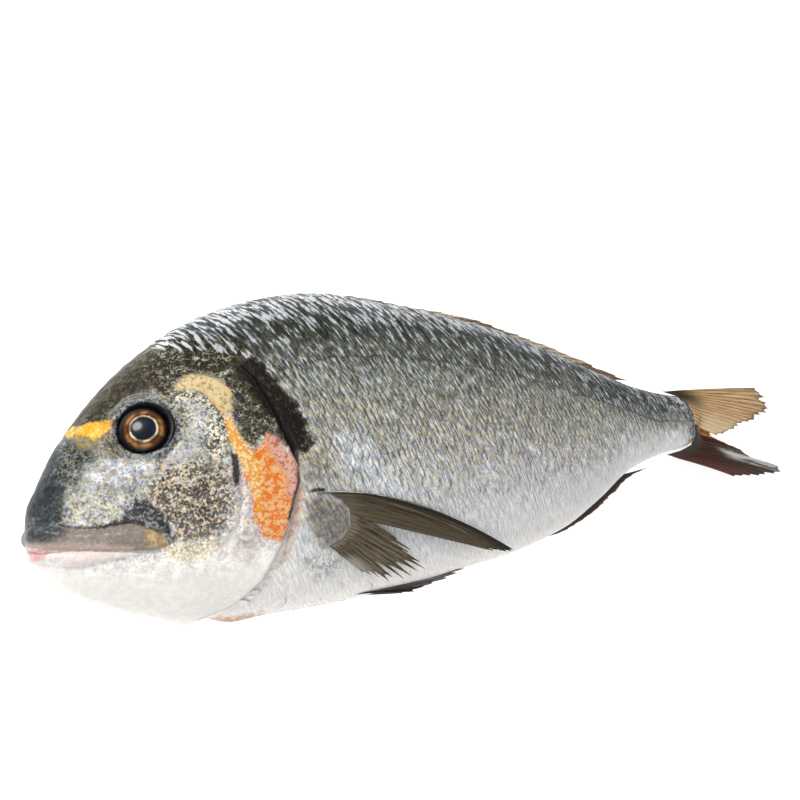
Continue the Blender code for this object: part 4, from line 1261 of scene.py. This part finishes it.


# painted light: the amber of the upper lobe stands for light shining through it from behind
backlit_upper_look = fin_material("upper tail lobe", "#8f5a26", "#f6d096", [
    ("#f6e2bc", 0.6, ("across", 0.45, 0.95), ("reach", 0.15, 0.5)),
    ("#1f1912", 0.95, ("reach", 0.36, 0.08), ("across", 0.8, 0.35)),
    ("#3a2a18", 0.85, ("across", 0.06, -0.02)),
    ("#1d1712", 0.9, ("reach", 0.93, 1.02)),
], coverage=0.8)
# painted shade: the lower lobe is dark brown as if it lay in shade
shaded_lower_look = fin_material("lower tail lobe", "#180b06", "#4f2c18", [
    ("#dcdad2", 0.95, ("across", 0.25, 0.33), ("across", 0.62, 0.54), ("reach", 0.34, 0.5)),
    ("#6b3f38", 0.6, ("across", 0.72, 0.9)),
    ("#1b1513", 0.9, ("reach", 0.92, 1.02)),
    ("#3b3936", 0.85, ("reach", 0.2, 0.02)),
])
fork_look = fin_material("torn skin of the fork", "#7a4214", "#c07a34", [])
# name, roots, tips, rays, offset in mm, seed, notch, raggedness, ridge in mm and material
TAIL_PARTS = [
    ("tail_upper", UPPER_ROOT, UPPER_TIP, 16, 0.6, 21, 0.06, 0.05, 0.18, backlit_upper_look),
    ("tail_lower", LOWER_ROOT, LOWER_TIP, 16, -0.4, 22, 0.05, 0.03, 0.22, shaded_lower_look),
    ("tail_fork", FORK_ROOT, FORK_TIP, 5, 0.2, 23, 0.2, 0.2, 0.3, fork_look),
]
for name, roots, tips, rays, offset, seed, notch, ragged, ridge, look in TAIL_PARTS:
    lobe = fin_mesh(name, roots, tips, rays, tail_lay(offset), seed, notch=notch, ragged=ragged, ridge=ridge)
    new_fin(name, lobe, look)

# %% [markdown]
# The fins of the back and belly lie folded, with their rays swept to the rear, so only thin slivers of them
# stand over the outline. The belly fins lie along the belly's edge. Their roots start under the skin, so
# that no gap shows where a fin leaves the flesh.

# %% Folded fins
DORSAL_SPAN, DORSAL_LEAN_DEG, DORSAL_RAYS = (86.0, 206.0), 58.0, 24
# a share of the span, and the height of the folded fin there in mm
DORSAL_HEIGHTS = [(0, 0.2), (0.1, 0.6), (0.18, 0.8), (0.24, 1.8), (0.28, 0.7), (0.42, 0.8), (0.48, 2.4),
                  (0.56, 2.0), (0.60, 0.8), (0.84, 0.6), (0.89, 1.6), (0.95, 1.2), (1, 0.3)]
ANAL_SPAN, ANAL_LEAN_DEG, ANAL_RAYS = (158.0, 203.0), 12.0, 14
ANAL_HEIGHTS = [(0, 0.3), (0.25, 1.5), (0.6, 1.8), (1, 2.2)]
# how far in mm the rays sweep to the rear on the back (1) and the belly (-1), and how much of that their tips
# follow the curve of the body
FOLDED_SWEEP, FOLDED_FOLLOW = {1: 12.0, -1: 15.0}, {1: 0.5, -1: 0.85}
ROOT_SINK = 1.2
# distance of each belly fin from the middle of the belly in mm
BELLY_FIN_SIDE = 4.2


def folded_fin(name, line, span, heights, lean_deg, rays, out, seed, notch, ragged):
    """A fin that lies folded along the back (out 1) or the belly (out -1)."""
    share = np.linspace(0, 1, 80)
    x = span[0] + (span[1] - span[0]) * share
    stands = np.interp(share, *zip(*heights))
    lean = math.radians(lean_deg)
    roots = np.stack([x, smooth_line(line, x) - out * ROOT_SINK], -1)
    sweep, follow = FOLDED_SWEEP[out], FOLDED_FOLLOW[out]
    tips = np.stack([x + sweep, smooth_line(line, x + follow * sweep) + out * stands * math.cos(lean)], -1)

    def lay(flat, root, along, across):
        return -along * np.interp(across, share, stands) * math.sin(lean)

    return fin_mesh(name, roots, tips, rays, lay, seed, notch=notch, ragged=ragged, rows=14, per_ray=6)


def belly_fin(name, side, seed):
    """A belly fin of six rays, folded back along the edge of the belly."""
    roots = [(86, -29.4), (90, -29.8), (93, -30)]
    tips = [(134, -26.6), (133, -27.8), (122, -30.4), (110, -32.4)]

    def lay(flat, root, along, across):
        return side * (BELLY_FIN_SIDE - 1.4 * along + 0.8 * across)

    return fin_mesh(name, roots, tips, 7, lay, seed, notch=0.06, ragged=0.05, rows=24)


back_look = fin_material("folded back fin", "#7a5a38", "#d9cdb2", [
    ("#6b4526", 0.95, ("across", 0.16, 0.2), ("across", 0.29, 0.27)),
    ("#6b4526", 0.95, ("across", 0.44, 0.48), ("across", 0.62, 0.58)),
    ("#6b4526", 0.95, ("across", 0.84, 0.88)),
])
anal_look = fin_material("folded rear belly fin", "#1d1415", "#4c372f", [
    ("#8d7358", 0.6, ("reach", 0.75, 1.0)),
    ("#33222c", 0.6, ("reach", 0.35, 0.1)),
])
belly_look = fin_material("folded belly fin", "#544a48", "#b3a9ae", [
    ("#241d18", 0.9, ("across", 0.6, 0.85)),
])
dorsal = folded_fin("dorsal", BACK_LINE, DORSAL_SPAN, DORSAL_HEIGHTS, DORSAL_LEAN_DEG, DORSAL_RAYS, 1, 31,
                    notch=0.1, ragged=0.1)
new_fin("dorsal", dorsal, back_look)
anal = folded_fin("anal", BELLY_LINE, ANAL_SPAN, ANAL_HEIGHTS, ANAL_LEAN_DEG, ANAL_RAYS, -1, 32,
                  notch=0.1, ragged=0.12)
new_fin("anal", anal, anal_look)
for side, name in ((1, "left"), (-1, "right")):
    new_fin(f"belly_fin_{name}", belly_fin(f"belly_fin_{name}", side, 35), belly_look)
